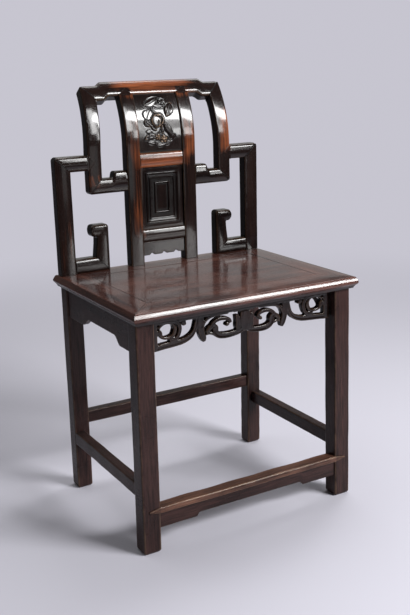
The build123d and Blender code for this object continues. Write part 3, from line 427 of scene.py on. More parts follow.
def make_twins(node, patches, wood, **settings):
    """The right piece and its left twin, each in place of its own node."""
    for side, word in ((1, "right"), (-1, "left")):
        turned = [mirrored(patch, side) for patch in patches]
        make_piece(f"{node}_{word}", turned, wood, **settings)


# ---- Ways of placing a flat drawing in the chair -------------------------------------------
def on_front(x, z, y):
    """Drawn as seen from the front: depth is y."""
    return np.stack(np.broadcast_arrays(x, y, z), axis=-1)


def on_side(y, z, x):
    """Drawn as seen from the side: depth is x."""
    return on_front(x, z, y)


def on_top(x, y, z):
    """Drawn as seen from above: depth is z."""
    return on_front(x, z, y)


def crest_run(height):
    """Distance up the curled front face at a height square to the crest rail's face."""
    return bend_height + bend_radius * (crest_lean + asin(height / bend_radius))


def on_back(x, s, depth):
    """Drawn on the back's front face, unrolled: s is the height, and past the bend the distance along
    the curl. Depth is square to the face. Up there a point stands at angle s / radius round the bend's
    axis; towards the crest rail the angle grows behind the face, so that its edges are square cut."""
    blend_start, blend_length = 0.24, 0.1
    x, s, depth = np.broadcast_arrays(x, s, depth)
    radial = (s - bend_height) / bend_radius
    height = bend_radius * np.sin(radial - crest_lean)
    squared = crest_lean + np.arcsin(np.clip(height / (bend_radius - depth), -1, 1))
    blend = np.clip((radial - crest_lean + blend_start) / blend_length, 0, 1)
    angle = radial + (squared - radial) * blend * blend * (3 - 2 * blend)
    curled = bend_radius - depth
    y = np.where(radial > 0, back_front + bend_radius - curled * np.cos(angle), back_front + depth)
    z = np.where(radial > 0, bend_height + curled * np.sin(angle), s)
    return np.stack([x, y, z], axis=-1)


# ---- Finishes ------------------------------------------------------------------------------
# How much of each effect a finish usually has.
usual_look = {"streaks": 0.7, "patches": 0.35, "fibres": 0.25, "wear": 0.2, "pores": 0.6, "roughness": 0.11,
              "dull": 0.08, "pits": 0.3, "bump": 0.2, "shine": 0.18, "coat": 0.3}

# Each finish: the record's material slot that it belongs to, the setting that its streaks take their
# colours from, and where its look differs from the usual one.
finishes = {
    "dark_wood": ("dark_hardwood", "dark", {"wear": 0.07}),
    "red_wood": ("red_hardwood", "dark", {"streaks": 0.9, "wear": 0.15}),
    "leg_wood": ("dark_hardwood", "leg", {
        "streaks": 1.2, "patches": 0.6, "fibres": 0.7, "roughness": 0.27, "pits": 0.8, "bump": 0.5,
        "shine": 0.16, "coat": 0.06}),
    "seat_wood": ("seat_hardwood", "seat", {"roughness": 0.18, "pits": 0.2, "shine": 0.2}),
    "worn_wood": ("worn_hardwood", "footrest", {
        "wear": 0.35, "fibres": 0.5, "roughness": 0.35, "coat": 0.1, "shine": 0.2}),
    "carved_wood": ("dark_hardwood", "dark", {
        "pits": 0.1, "bump": 0.12, "wear": 0.7, "roughness": 0.13, "coat": 0.4}),
    "panel_wood": ("red_hardwood", "dark", {"pits": 0.1, "bump": 0.12, "wear": 0.0, "roughness": 0.13}),
    "unseen_wood": ("dark_hardwood", "dark", {"roughness": 0.5, "coat": 0.0}),
}
# Colour of pores, of grime, and of the painted shade in the seat's cove and the carving's grooves.
grime_and_shade_colour = (0.003, 0.0025, 0.0025)


def add_node(tree, kind, inputs=None, **settings):
    """One shader node with its settings. An input is given a value, or a socket to be linked to."""
    node = tree.nodes.new(kind)
    for key, value in settings.items():
        setattr(node, key, value)
    for key, value in (inputs or {}).items():
        if isinstance(value, bpy.types.NodeSocket):
            tree.links.new(value, node.inputs[key])
        else:
            node.inputs[key].default_value = value
    return node


def calculate(tree, operation, first, second=0.0, clamp=False):
    """A Math node's result."""
    node = add_node(tree, "ShaderNodeMath", {0: first, 1: second}, operation=operation, use_clamp=clamp)
    return node.outputs[0]


def times(tree, first, second):
    """One value times another."""
    return calculate(tree, "MULTIPLY", first, second)


def plus(tree, first, second, clamp=False):
    """One value and another."""
    return calculate(tree, "ADD", first, second, clamp)


def spread(tree, value, low, high, to_low=0.0, to_high=1.0):
    """A value eased from one range to another, and held at its ends."""
    ranges = {"From Min": low, "From Max": high, "To Min": to_low, "To Max": to_high}
    node = add_node(tree, "ShaderNodeMapRange", {"Value": value, **ranges}, interpolation_type="SMOOTHSTEP")
    return node.outputs["Result"]


def mixed(tree, share, first, second):
    """A colour between two others, each a socket or three figures."""
    first, second = ((*value, 1) if isinstance(value, tuple) else value for value in (first, second))
    return add_node(tree, "ShaderNodeMix", {0: share, 6: first, 7: second}, data_type="RGBA").outputs[2]


def noise(tree, place, stretch, detail=3.0, roughness=0.55, distortion=0.0):
    """Noise on a place stretched by a factor for each axis, as cycles per metre."""
    scaled = add_node(tree, "ShaderNodeVectorMath", {0: place, 1: stretch}, operation="MULTIPLY").outputs[0]
    return add_node(tree, "ShaderNodeTexNoise", {
        "Vector": scaled, "Scale": 1.0, "Detail": detail, "Roughness": roughness,
        "Distortion": distortion}).outputs["Fac"]


def new_group(name, inputs, outputs):
    """An empty shader node group with sockets of the given names and kinds, and its two end nodes."""
    tree = bpy.data.node_groups.new(name, "ShaderNodeTree")
    for direction, sockets in (("INPUT", inputs), ("OUTPUT", outputs)):
        for socket_name, kind in sockets.items():
            tree.interface.new_socket(socket_name, in_out=direction, socket_type=f"NodeSocket{kind}")
    return tree, tree.nodes.new("NodeGroupInput"), tree.nodes.new("NodeGroupOutput")


def wood_figure_group():
    """Streaks, fibres and open pores, all drawn out along the timber."""
    tree, given, result = new_group("wood_figure", {"Grain": "Vector"},
                                    {"Streak": "Float", "Fibre": "Float", "Pore": "Float"})
    grain = given.outputs["Grain"]
    broad = noise(tree, grain, (2.6, 34, 34), 4.0, 0.6, 0.5)
    narrow = noise(tree, grain, (7, 190, 190), 3.0, 0.6, 0.3)
    streak = plus(tree, times(tree, broad, 0.62), times(tree, narrow, 0.38))
    fibre = noise(tree, grain, (22, 900, 900), 3.0, 0.7)
    pore = noise(tree, grain, (110, 2300, 2300), 1.0, 0.5)
    tree.links.new(spread(tree, streak, 0.36, 0.66), result.inputs["Streak"])
    tree.links.new(fibre, result.inputs["Fibre"])
    tree.links.new(spread(tree, pore, 0.62, 0.72), result.inputs["Pore"])


def age_group():
    """Worn arrises; grime in joints and hollows, which in the seat's cove and the carving's grooves is also
    painted shade; patches where hands and sun have been; and pits.
    """
    tree, given, result = new_group("age", {"Place": "Vector", "Wear": "Float", "Grime": "Float"},
                                    {"Worn": "Float", "Dirty": "Float", "Patch": "Float", "Pits": "Float"})
    place = given.outputs["Place"]
    patch = noise(tree, place, (9, 9, 9), 3.0, 0.55)
    chafe = noise(tree, place, (60, 60, 60), 4.0, 0.6)
    pits = noise(tree, place, (420, 420, 420), 3.0, 0.65)
    worn = plus(tree, given.outputs["Wear"], times(tree, chafe, 1.1))
    dirt_and_shade = plus(tree, given.outputs["Grime"], times(tree, chafe, 0.6))
    for name, value, low, high in (("Worn", worn, 1.15, 1.65), ("Dirty", dirt_and_shade, 0.55, 1.15),
                                   ("Patch", patch, 0.36, 0.66), ("Pits", pits, 0.5, 0.7)):
        tree.links.new(spread(tree, value, low, high), result.inputs[name])


def emptied_tree(owner):
    """The node tree of a new material or world, without the nodes that it came with."""
    owner.use_nodes = True
    owner.node_tree.nodes.clear()
    return owner.node_tree


def show(tree, shader, kind="Material"):
    """Links a shader to the surface of a material or a world."""
    tree.links.new(shader.outputs[0], add_node(tree, f"ShaderNodeOutput{kind}").inputs["Surface"])


def hardwood(name, colours, look, on_node=False):
    """Old polished hardwood. Colours holds the deep and the bright streaks of the polish, those of the
    red heart, and the rubbed arrises. On a carried-over node the grain follows the object's own axes
    instead of the figures."""
    deep, bright, heart_deep, heart_bright, worn = colours
    tree = emptied_tree(bpy.data.materials.new(name))
    place = add_node(tree, "ShaderNodeTexCoord").outputs["Object"]
    if on_node:
        turned = add_node(tree, "ShaderNodeMapping", {"Vector": place, "Rotation": (0, 0, pi / 2)})
        grain, wear, grime, warmth = turned.outputs["Vector"], 0.0, 0.15, 0.0
    else:
        grain = add_node(tree, "ShaderNodeAttribute", attribute_name="grain").outputs["Vector"]
        wear, grime, warmth = (add_node(tree, "ShaderNodeAttribute", attribute_name=figure).outputs["Fac"]
                               for figure in ("wear", "grime", "warmth"))
    groups = bpy.data.node_groups
    figure = add_node(tree, "ShaderNodeGroup", {"Grain": grain}, node_tree=groups["wood_figure"])
    age = add_node(tree, "ShaderNodeGroup", {"Place": place, "Wear": wear, "Grime": grime},
                   node_tree=groups["age"])
    streak, fibre, pore = (figure.outputs[key] for key in ("Streak", "Fibre", "Pore"))
    worn_share, dirt_and_shade, patch, pits = (age.outputs[key] for key in ("Worn", "Dirty", "Patch", "Pits"))

    light = plus(tree, times(tree, streak, look["streaks"]), times(tree, patch, look["patches"]), clamp=True)
    polish = mixed(tree, light, deep, bright)
    heart = mixed(tree, streak, heart_deep, heart_bright)
    showing = 0.0
    if not on_node:         # the heart shows with a ragged edge, along the streaks
        ragged = plus(tree, warmth, times(tree, streak, 0.45))
        showing = times(tree, spread(tree, ragged, 0.35, 1.15), spread(tree, warmth, 0.0, 0.25))
    colour = mixed(tree, showing, polish, heart)
    shade = spread(tree, fibre, 0.3, 0.7, 1 - look["fibres"], 1 + look["fibres"])
    tinted = add_node(tree, "ShaderNodeVectorMath", {0: colour, "Scale": shade}, operation="SCALE")
    colour = mixed(tree, times(tree, worn_share, look["wear"]), tinted.outputs[0], worn)
    # Pores, and grime together with the painted shade that it carries, darken the colour.
    dark = calculate(tree, "MAXIMUM", times(tree, pore, look["pores"]), times(tree, dirt_and_shade, 0.85), clamp=True)
    colour = mixed(tree, dark, colour, grime_and_shade_colour)

    gloss = plus(tree, look["roughness"], times(tree, patch, look["dull"]))
    gloss = plus(tree, gloss, times(tree, dark, 0.25), clamp=True)
    height = calculate(tree, "SUBTRACT", times(tree, fibre, 0.35), times(tree, pore, 0.6))
    height = calculate(tree, "SUBTRACT", height, times(tree, pits, look["pits"]))
    bump = add_node(tree, "ShaderNodeBump", {"Strength": look["bump"], "Distance": 0.0003, "Height": height})
    shader = add_node(tree, "ShaderNodeBsdfPrincipled", {
        "Base Color": colour, "Roughness": gloss, "Normal": bump.outputs["Normal"], "IOR": 1.5,
        "Specular IOR Level": look["shine"], "Coat Weight": look["coat"], "Coat Roughness": 0.08})
    show(tree, shader)


# ---- Settings that a user may change --------------------------------------------------------
def colour_setting(name, description, default):
    """A colour that a user may change."""
    return FloatVectorProperty(name=name, description=description, default=default, subtype="COLOR",
                               min=0, max=1)


def radiance_setting(name, description, default):
    """A light's radiance that a user may change."""
    return FloatProperty(name=name, description=description, default=default, min=0, max=100)


class FinishSettings(bpy.types.PropertyGroup):
    """Colours of the timber."""

    dark_deep: colour_setting("Dark wood", "Darkest streaks of the fret", (0.0028, 0.0014, 0.0013))
    dark_bright: colour_setting("Dark streaks", "Lighter streaks of the fret", (0.0135, 0.0062, 0.0050))
    leg_deep: colour_setting("Legs", "Darkest streaks of the legs", (0.009, 0.0038, 0.0036))
    leg_bright: colour_setting("Leg streaks", "Lighter streaks of the legs", (0.030, 0.0135, 0.0118))
    seat_deep: colour_setting("Seat", "Darkest streaks of the seat", (0.018, 0.0068, 0.0072))
    seat_bright: colour_setting("Seat streaks", "Lighter streaks of the seat", (0.110, 0.043, 0.031))
    footrest_deep: colour_setting("Footrest", "Darkest streaks of the footrest", (0.034, 0.015, 0.011))
    footrest_bright: colour_setting("Footrest streaks", "Its lighter streaks", (0.150, 0.070, 0.046))
    heart_deep: colour_setting("Red heart", "Darkest streaks of the red heart", (0.040, 0.010, 0.004))
    heart_bright: colour_setting("Red heart streaks", "Its lighter streaks", (0.260, 0.074, 0.028))
    worn: colour_setting("Worn wood", "Rubbed arrises and feet", (0.260, 0.165, 0.100))


class CarvingSettings(bpy.types.PropertyGroup):
    """Sizes of the carving."""

    relief: FloatProperty(
        name="Relief", description="How far the fruit and leaves stand up from their ground",
        default=0.0040, min=0.001, max=0.006, unit="LENGTH")
    fineness: FloatProperty(
        name="Fineness", description="Spacing of the points on the carved panel", default=0.0006,
        min=0.0003, max=0.002, unit="LENGTH")
    voxel: FloatProperty(
        name="Scroll fineness", description="Voxel size that joins the front apron's scrolls",
        default=0.0010, min=0.0006, max=0.003, unit="LENGTH")


class StageSettings(bpy.types.PropertyGroup):
    """Floor, light and camera."""

    floor: colour_setting("Floor", "Colour of the floor and of what lies behind it", (0.57, 0.56, 0.63))
    key: radiance_setting("Key light", "Radiance of the light in front", 50.0)
    edge: radiance_setting("Edge light", "Radiance of the light that shows the upper edges", 7.0)
    rear: radiance_setting("Rear light", "Radiance of the wide light behind the chair", 0.4)
    fill: radiance_setting("Fill light", "Radiance of the small light low in front", 1.2)
    top: radiance_setting("Top light", "Radiance of the light overhead", 1.9)
    around: radiance_setting("Light all round", "Strength of the even light from all sides", 0.1)
    lens: FloatProperty(
        name="Lens", description="Focal length of the camera, in millimetres on a 36 mm high sensor",
        default=53.44, min=10, max=200)


# ---- Making the pieces ----------------------------------------------------------------------
class ChairOperator:
    """What the chair's operators have in common: each can be undone."""

    bl_options = {"REGISTER", "UNDO"}


class MakeFinishes(ChairOperator, bpy.types.Operator):
    """Makes the finishes and the two effects that they share."""

    bl_idname = "chair.finishes"
    bl_label = "Finishes"

    def execute(self, context):
        settings = context.scene.chair_finish
        wood_figure_group()
        age_group()
        for name, (_, streaks, changes) in finishes.items():
            keys = f"{streaks}_deep", f"{streaks}_bright", "heart_deep", "heart_bright", "worn"
            colours = [tuple(getattr(settings, key)) for key in keys]
            hardwood(name, colours, {**usual_look, **changes}, on_node=name == "unseen_wood")
        return {"FINISHED"}


def leg_patch(outer_top, front_top, width, depth, splay_side, splay_deep):
    """A square leg. Every face runs straight from the seat to the foot, which stands further out by
    splay * (1 - z / height); wear has rounded the sole's edges by 4 * (1 - z / 6) ** 2."""
    z = np.array([0.0, 0.8, 2.0, 3.6, sole_round_height, 20.0, 60.0, seat_bottom])

    def shift(height, splay):
        return splay * (1 - height / seat_bottom)

    def rounding(height):
        return sole_round * np.clip(1 - height / sole_round_height, 0, 1) ** 2

    def near(first, second):
        return front_top + shift(first[:, 1], splay_deep) + rounding(first[:, 1])

    def far(first, second):
        return front_top + depth + shift(first[:, 1], splay_deep) - rounding(first[:, 1])

    outer = np.column_stack([outer_top + shift(z, splay_side) - rounding(z), z])
    inner = np.column_stack([outer_top - width + shift(z, splay_side) + rounding(z), z])
    patch = member([(outer, inner)], near, far, on_front, radius=3.2, vees=(False, True))
    rubbed = foot_wear * np.exp(-patch["points"][:, 2] / foot_wear_height)
    return {**patch, "wear": np.clip(patch["wear"] + rubbed, 0, 1)}


class MakeLegs(ChairOperator, bpy.types.Operator):
    """Four square legs, whose feet stand slightly outward."""

    bl_idname = "chair.legs"
    bl_label = "Legs"

    def execute(self, context):
        front = leg_patch(front_leg_high[0] - front_foot_side, front_leg_low[1] + front_foot_front,
                          front_leg_width, front_leg_depth, front_foot_side, -front_foot_front)
        rear = leg_patch(rear_leg_high[0], rear_leg_high[1] - rear_foot_rear - rear_leg_depth,
                         rear_leg_width, rear_leg_depth, 0.0, rear_foot_rear)
        make_twins("leg_front", [front], "leg_wood", uneven=0.2)
        make_twins("leg_rear", [rear], "leg_wood", uneven=0.2)
        return {"FINISHED"}


def eared_board(ends, heights, ears, ogees, depths, place):
    """An apron between two ends. Its lower edge has a deeper ear at each end, an ogee up from each, and
    is straight between. Heights are those of the ears, of the straight part and of the top."""
    (start, end), (ear_low, low, high), (near, far) = ends, heights, depths
    edge = np.vstack([
        line((start, ear_low)), ogee((start + ears[0], ear_low), (start + ears[0] + ogees[0], low)),
        ogee((end - ears[1] - ogees[1], low), (end - ears[1], ear_low)), line((end, ear_low))])
    return member([(edge, line((start, high), (end, high)))], near, far, place, radius=1.4)


class MakePlainAprons(ChairOperator, bpy.types.Operator):
    """The plain aprons at the sides and the rear, with deeper ends."""

    bl_idname = "chair.plain_aprons"
    bl_label = "Plain aprons"

    def execute(self, context):
        heights = seat_bottom - apron_ear_height, seat_bottom - apron_height, seat_bottom
        front = front_leg_low[1] + front_foot_front + front_leg_depth - apron_let_in
        rear = rear_leg_high[1] - rear_foot_rear - rear_leg_depth + apron_let_in
        depths = side_apron_outer - side_apron_thickness, side_apron_outer
        side = eared_board((front, rear), heights, (50.0, 75.0), (25.0, 35.0), depths, on_side)
        make_twins("side_apron", [side], "leg_wood")

        end = rear_leg_high[0] - rear_leg_width + apron_let_in
        depths = rear_apron_low[1], rear_apron_high[1]
        board = eared_board((-end, end), heights, (50.0, 50.0), (25.0, 25.0), depths, on_front)
        make_piece("rear_apron", [board], "leg_wood")
        return {"FINISHED"}


# The front apron's scrolls on the right of its middle, band by band: what the band is, the line down
# its middle in millimetres from the chair's middle and from the floor, its half width along that
# line, and how far its face is hollowed between its raised edges.
apron_bands = [
    ("top_bar", [(-4, 468), (120, 468), (213, 468)], [6.5, 6.5, 6.5], 0.0),
    ("end_post", [(206, 414), (206, 440), (206, 470)], [7.5, 7.5, 7.5], 0.0),
    ("long_scroll", [(110.4, 465), (114, 450), (118, 438), (128, 427.7), (145, 421.5), (165, 419.5),
                     (187, 418), (200, 416.5), (210, 415.5)],
     [4.4, 4.4, 4.6, 5.4, 6.0, 6.2, 6.2, 6.0, 5.5], 1.4),
    ("ring_outer", [(173, 427.7), (157, 431), (150.3, 443.7), (150.7, 454.8), (159, 464.5), (176, 468),
                    (193, 467)], [3.6, 4.0, 4.2, 4.2, 3.8, 3.6, 3.6], 0.9),
    ("ring_inner", [(192, 445), (189.6, 437.4), (179.6, 433.6), (166.5, 436), (161, 445.6), (161, 453.5),
                    (166.6, 461.2), (178.4, 463.8), (189, 460.7), (196.3, 454.6)],
     [3.4, 3.4, 3.2, 4.0, 4.4, 4.0, 3.2, 3.0, 3.0, 3.4], 0.0),
    ("ring_ball", [(196, 451), (193.5, 445.2), (190.6, 439.7)], [4.0, 5.6, 4.0], 0.0),
    ("hanging_bud", [(142.6, 462.4), (140, 457), (138.7, 453)], [4.5, 4.8, 3.8], 0.0),
    ("leaf", [(103.7, 464), (103.6, 445.8), (101.7, 431), (97.6, 419.3), (96.4, 412)],
     [7.0, 7.4, 6.8, 6.2, 3.0], 1.2),
    ("leaf_vein", [(107.2, 458.5), (107.5, 442.4), (103.7, 427.5), (98.4, 414.3)],
     [2.6, 2.6, 2.4, 2.0], 0.0),
    ("upper_sweep", [(100, 439), (94.4, 451.7), (83.5, 459.5), (65, 462.6), (40, 463)],
     [3.4, 3.6, 3.8, 3.8, 3.6], 0.0),
    ("leaf_curls", [(90.5, 429.3), (84.6, 436.4), (78, 440.8)], [4.0, 5.0, 4.0], 0.0),
    ("leaf_tail", [(91, 426.3), (83.3, 426.8), (75.3, 424.6)], [2.6, 3.0, 3.4], 0.0),
    ("middle_scroll", [(78, 442.5), (70.5, 436), (70, 426.7), (62.8, 419.9), (51.3, 417), (35, 416.8),
                       (17.3, 419), (7.7, 423)], [4.2, 6.6, 6.6, 6.4, 6.4, 6.0, 5.6, 5.0], 1.5),
    ("middle_top", [(81.8, 438), (72.4, 447.8), (61, 452), (47, 451.4), (37.4, 447), (35, 440.7)],
     [3.6, 3.8, 3.9, 3.9, 3.6, 3.2], 1.0),
    ("middle_ball", [(38.5, 440), (42.7, 438.7), (46, 439.7)], [3.2, 4.2, 3.4], 0.0),
    ("middle_inner", [(20, 454.3), (18.3, 441.7), (18.7, 431.3), (15, 420.3)], [4.4, 5.0, 5.2, 4.8], 1.0),
    ("middle_leaf", [(-3, 460), (-2, 446), (-1, 432), (-1, 419)], [9.0, 11.0, 11.5, 7.0], 1.0),
    ("middle_crown", [(-2, 458), (10, 464), (26, 464)], [4.0, 4.0, 4.0], 0.0),
]


def band_patch(knots, halves, hollow, near, far):
    """A band of the carving: a rounded section carried along a curve, hollowed between its edges."""
    count = 6 * len(knots)
    path = smooth_line(knots, count)
    half = smooth_line(np.column_stack([halves, halves]), count)[:, 0]
    tangent = np.gradient(path, axis=0)
    tangent /= np.linalg.norm(tangent, axis=1)[:, None]
    square = np.column_stack([-tangent[:, 1], tangent[:, 0]]) * half[:, None]
    return member([(path + square, path - square)], near, far, on_front, radius=(2.4, 2.4, 1.6, 1.6),
                  step=3.0, vees=(False, False), flat_steps=5, arch=-hollow)


def eased_inward(patch):
    """The right half of the scrolls, which the carver set a little nearer to the middle: each point
    moves inward by 8 * sin(pi * x / end) ** 0.5, with nothing at the middle and at the leg."""
    most = 8.0
    x, y, z = patch["points"].T
    share = np.clip(x / front_apron_high[0], 0, 1)
    return moved(patch, np.column_stack([x - most * np.sqrt(np.sin(pi * share)), y, z]))


def joined_by_voxels(piece, voxel, smooth_steps):
    """One skin round the overlapping ones of a piece: a voxel remesh, then a smoothing of its steps."""
    remesh = piece.modifiers.new("one_skin", "REMESH")
    remesh.mode = "VOXEL"
    remesh.voxel_size = voxel
    smooth = piece.modifiers.new("smoothed", "SMOOTH")
    smooth.factor = 0.5
    smooth.iterations = smooth_steps
    evaluated = piece.evaluated_get(bpy.context.evaluated_depsgraph_get())
    old, piece.data = piece.data, bpy.data.meshes.new_from_object(evaluated)
    piece.modifiers.clear()
    piece.data.name = piece.name
    bpy.data.meshes.remove(old)


def figures_from_form(mesh, reach):
    """Wear and grime of a free form: how far a point stands out from, or lies in from, the average of
    the points round it after as many rounds of averaging as reach."""
    wear_per_mm, grime_per_mm = 2.2, 2.5
    count = len(mesh.vertices)
    places, normals = np.empty(count * 3), np.empty(count * 3)
    mesh.vertices.foreach_get("co", places)
    mesh.vertices.foreach_get("normal", normals)
    places, normals = places.reshape(-1, 3), normals.reshape(-1, 3)
    edges = np.empty(len(mesh.edges) * 2, dtype=int)
    mesh.edges.foreach_get("vertices", edges)
    first, second = edges.reshape(-1, 2).T
    degree = np.bincount(edges, minlength=count)
    average = places
    for _ in range(reach):
        average = np.column_stack([
            (np.bincount(first, column[second], count) + np.bincount(second, column[first], count)) / degree
            for column in average.T])
    proud = np.einsum("ij,ij->i", places - average, normals) * 1000
    return places, np.clip(proud * wear_per_mm, 0, 1), np.clip(-proud * grime_per_mm, 0, 1)


class MakeFrontApron(ChairOperator, bpy.types.Operator):
    """The openwork apron: bands of carving joined to one skin."""

    bl_idname = "chair.front_apron"
    bl_label = "Front apron"

    def execute(self, context):
        near, far = front_apron_low[1], front_apron_high[1]
        behind_hollows, layer, layers = 0.9, 0.15, 3
        patches = []
        for order, (_, knots, halves, hollow) in enumerate(apron_bands):
            raised = near + (0.0 if hollow else behind_hollows) + layer * (order % layers)
            patch = band_patch(knots, halves, hollow, raised, far)
            patches += [eased_inward(patch), mirrored(patch, -1)]
        piece = make_piece("front_apron", patches, "dark_wood", uneven=0.0)
        joined_by_voxels(piece, context.scene.chair_carving.voxel, 4)
        places, wear, grime = figures_from_form(piece.data, 12)
        put_figures(piece.data, places[:, [0, 2, 1]], wear, grime, warmth_at(places * 1000))
        piece.data.polygons.foreach_set("use_smooth", np.ones(len(piece.data.polygons), dtype=bool))
        return {"FINISHED"}


class MakeStretchers(ChairOperator, bpy.types.Operator):
    """The two side stretchers and the rear one."""

    bl_idname = "chair.stretchers"
    bl_label = "Stretchers"

    def execute(self, context):
        front, rear = front_leg_low[1] + front_leg_depth, rear_leg_high[1] - rear_leg_depth + 1
        edges = straight(front, rear, side_stretcher_low[2], side_stretcher_high[2])
        bar = member([edges], side_stretcher_low[0], side_stretcher_high[0], on_side, radius=2.4)
        make_twins("side_stretcher", [bar], "leg_wood", uneven=0.18)
        end = rear_leg_high[0] - rear_leg_width
        edges = straight(-end, end, rear_stretcher_low[2], rear_stretcher_high[2])
        bar = member([edges], rear_stretcher_low[1], rear_stretcher_high[1], on_front, radius=2.2)
        make_piece("rear_stretcher", [bar], "leg_wood", uneven=0.18)
        return {"FINISHED"}


class MakeFootrest(ChairOperator, bpy.types.Operator):
    """The footrest, with its worn lip and a point lapped over each leg, and the apron under it."""

    bl_idname = "chair.footrest"
    bl_label = "Footrest"

    def execute(self, context):
        (_, front, low), (_, rear, high) = footrest_low, footrest_high
        leg_inner = front_leg_high[0] - front_foot_side * low / seat_bottom - front_leg_width
        leg_face = front + 3.0
        lap, point_half, point_height = 24.0, 1.5, (low + high) / 2
        x = np.array([-leg_inner - lap, -leg_inner, leg_inner, leg_inner + lap])
        lower = np.column_stack([x, [point_height - point_half, low, low, point_height - point_half]])
        upper = np.column_stack([x, [point_height + point_half, high, high, point_height + point_half]])

        def far(first, second):
            return np.where(np.abs(first[:, 0]) > leg_inner + 0.4, leg_face + 1.0, rear)

        def rubbed(first, second):
            share = np.clip(np.abs(first[:, 0]) / leg_inner, 0, 1)
            return 2.2 + 1.6 * (1 - share ** 3)

        bar = member([(lower, upper)], front, far, on_front, radius=(2.0, rubbed, 2.0, 2.0),
                     step=4.0, flat_steps=3, vees=(False, False))
        bar["grime"] = np.where(np.abs(bar["points"][:, 0]) > leg_inner, 0.5, bar["grime"])
        make_piece("footrest", [bar], "worn_wood", uneven=0.3)

        heights = footrest_apron_bottom, low - 26.0, low
        depths = leg_face + 4.0, leg_face + 16.0
        board = eared_board((-leg_inner, leg_inner), heights, (84.0, 84.0), (7.0, 7.0), depths, on_front)
        make_piece("footrest_apron", [board], "leg_wood")
        return {"FINISHED"}


def rail_profile(width):
    """Section of a seat rail as (distance from its outer edge, z): the top falls by quirk_drop to the
    nose, which is rolled in three arcs, and a cove runs back under it. An arc of the nose goes from one
    tilt of its normal to the next. Returns the points with their wear and grime; in the cove that grime is
    painted shade."""
    nose_start, fall_start = 7.7, 30.0
    nose = [(nose_start, seat_top - quirk_drop, 90.0)]
    for radius, start, end, count in ((4.0, 90, 33, 6), (40.0, 33, 21, 8), (6.0, 21, -60, 9)):
        tilt = np.linspace(start, end, count)
        turn = np.radians(tilt)
        across = nose[-1][0] + radius * (np.cos(turn[0]) - np.cos(turn[1:]))
        down = nose[-1][1] - radius * (np.sin(turn[0]) - np.sin(turn[1:]))
        nose += list(zip(across, down, tilt[1:]))
    under = nose[-1][1] - seat_bottom
    seam, cove_shade, nose_wear = (1.0, 0.6), 0.8, 0.5
    rows = [(width, seat_bottom, 0, 0), (width, seat_bottom + 6, 0, 0),
            (width, seat_top - joint_vee, 0, seam[0]), (width - joint_vee, seat_top, 0, seam[1]),
            (width - joint_grime, seat_top, 0, 0), ((width + fall_start) / 2, seat_top, 0, 0)]
    rows += [(inward, seat_top - fall, 0, 0)
             for inward, fall in ((fall_start, 0), (24, 0.08), (18, 0.3), (12, 0.6))]
    rows += [(across, down, nose_wear * (10 < tilt < 70), 0) for across, down, tilt in nose]
    # The cove under the nose is darkened as painted shade under the nose.
    rows += [(inward, seat_bottom + under * share, 0, cove_shade)
             for inward, share in ((5.4, 0.7), (7.4, 0.35), (8.6, 0))]
    table = np.array([*rows, (width / 2, seat_bottom, 0, 0)])
    return table[:, :2], table[:, 2], table[:, 3]


def seat_rail(half_length, width, slope, place):
    """A mitred rail: its section is carried along it, and each point of the section ends where the
    mitre cuts it, at half_length - slope * (distance from the outer edge)."""
    half_seam, near_joint = 0.06, 2.0
    profile, wear, grime = rail_profile(width)
    middle = np.array([width / 2, (seat_bottom + seat_top) / 2])
    shrunk = profile + np.clip(middle - profile, -joint_vee, joint_vee)
    reach = half_length - slope * profile[:, 0] - half_seam
    even = [reach * share for share in np.linspace(-1, 1, int(half_length / 3))[1:-1]]
    along = np.array([-reach, -reach + joint_vee, -reach + near_joint, *even,
                      reach - near_joint, reach - joint_vee, reach])
    sections = np.repeat(profile[None], len(along), axis=0)
    sections[0], sections[-1] = shrunk, shrunk
    inward, z = sections[..., 0], sections[..., 1]
    ends = np.zeros(len(along))
    ends[[0, 1, -2, -1]] = (1, 0.7, 0.7, 1)
    return tube(place(along, inward, z), np.stack([along, inward, z - seat_bottom], axis=-1),
                np.broadcast_to(wear, along.shape), np.maximum(grime[None], ends[:, None]))


class MakeSeatFrame(ChairOperator, bpy.types.Operator):
    """The four mitred rails of the seat."""

    bl_idname = "chair.seat_frame"
    bl_label = "Seat frame"

    def execute(self, context):
        middle, half_depth = (seat_front + seat_rear) / 2, (seat_rear - seat_front) / 2
        look = {"uneven": 0.06, "sharp": 40}
        for name, edge, turn in (("seat_front_rail", seat_front, 1), ("seat_rear_rail", seat_rear, -1)):
            rail = seat_rail(seat_half, long_rail_width, side_rail_width / long_rail_width,
                             lambda along, inward, z: on_top(along, edge + turn * inward, z))
            make_piece(name, [rail], "seat_wood", **look)
        side = seat_rail(half_depth, side_rail_width, long_rail_width / side_rail_width,
                         lambda along, inward, z: on_top(seat_half - inward, middle + along, z))
        make_twins("seat_side_rail", [side], "seat_wood", **look)
        return {"FINISHED"}


class MakeSeatPanel(ChairOperator, bpy.types.Operator):
    """The seat's panel, level with its frame, with a slight hollow where it has dried."""

    bl_idname = "chair.seat_panel"
    bl_label = "Seat panel"

    def execute(self, context):
        gap, thickness, below_frame, hollow = 0.12, 13.0, 0.1, 0.35
        end = panel_half - gap
        edges = straight(-end, end, panel_front + gap, panel_rear - gap)
        board = member([edges], seat_top - thickness, seat_top - below_frame, on_top, radius=0.5, step=8.0,
                       flat_steps=24)
        x, y, z = board["points"].T
        dished = np.where(z > seat_top - 1, hollow * (1 - (x / panel_half) ** 2), 0)
        board = moved(board, np.column_stack([x, y, z - dished]))
        make_piece("seat_panel", [board], "seat_wood", uneven=0.12)
        return {"FINISHED"}


# ---- The fret ------------------------------------------------------------------------------
def fret_member(segments, near=0.0, far=back_thickness, crown=1.5, **settings):
    """A member of the back, whose front face is crowned between its edges."""
    settings = {"radius": (2.4, 2.4, 1.6, 1.6), "flat_steps": 5, **settings}
    return member(segments, near + crown, far, on_back, arch=crown, **settings)


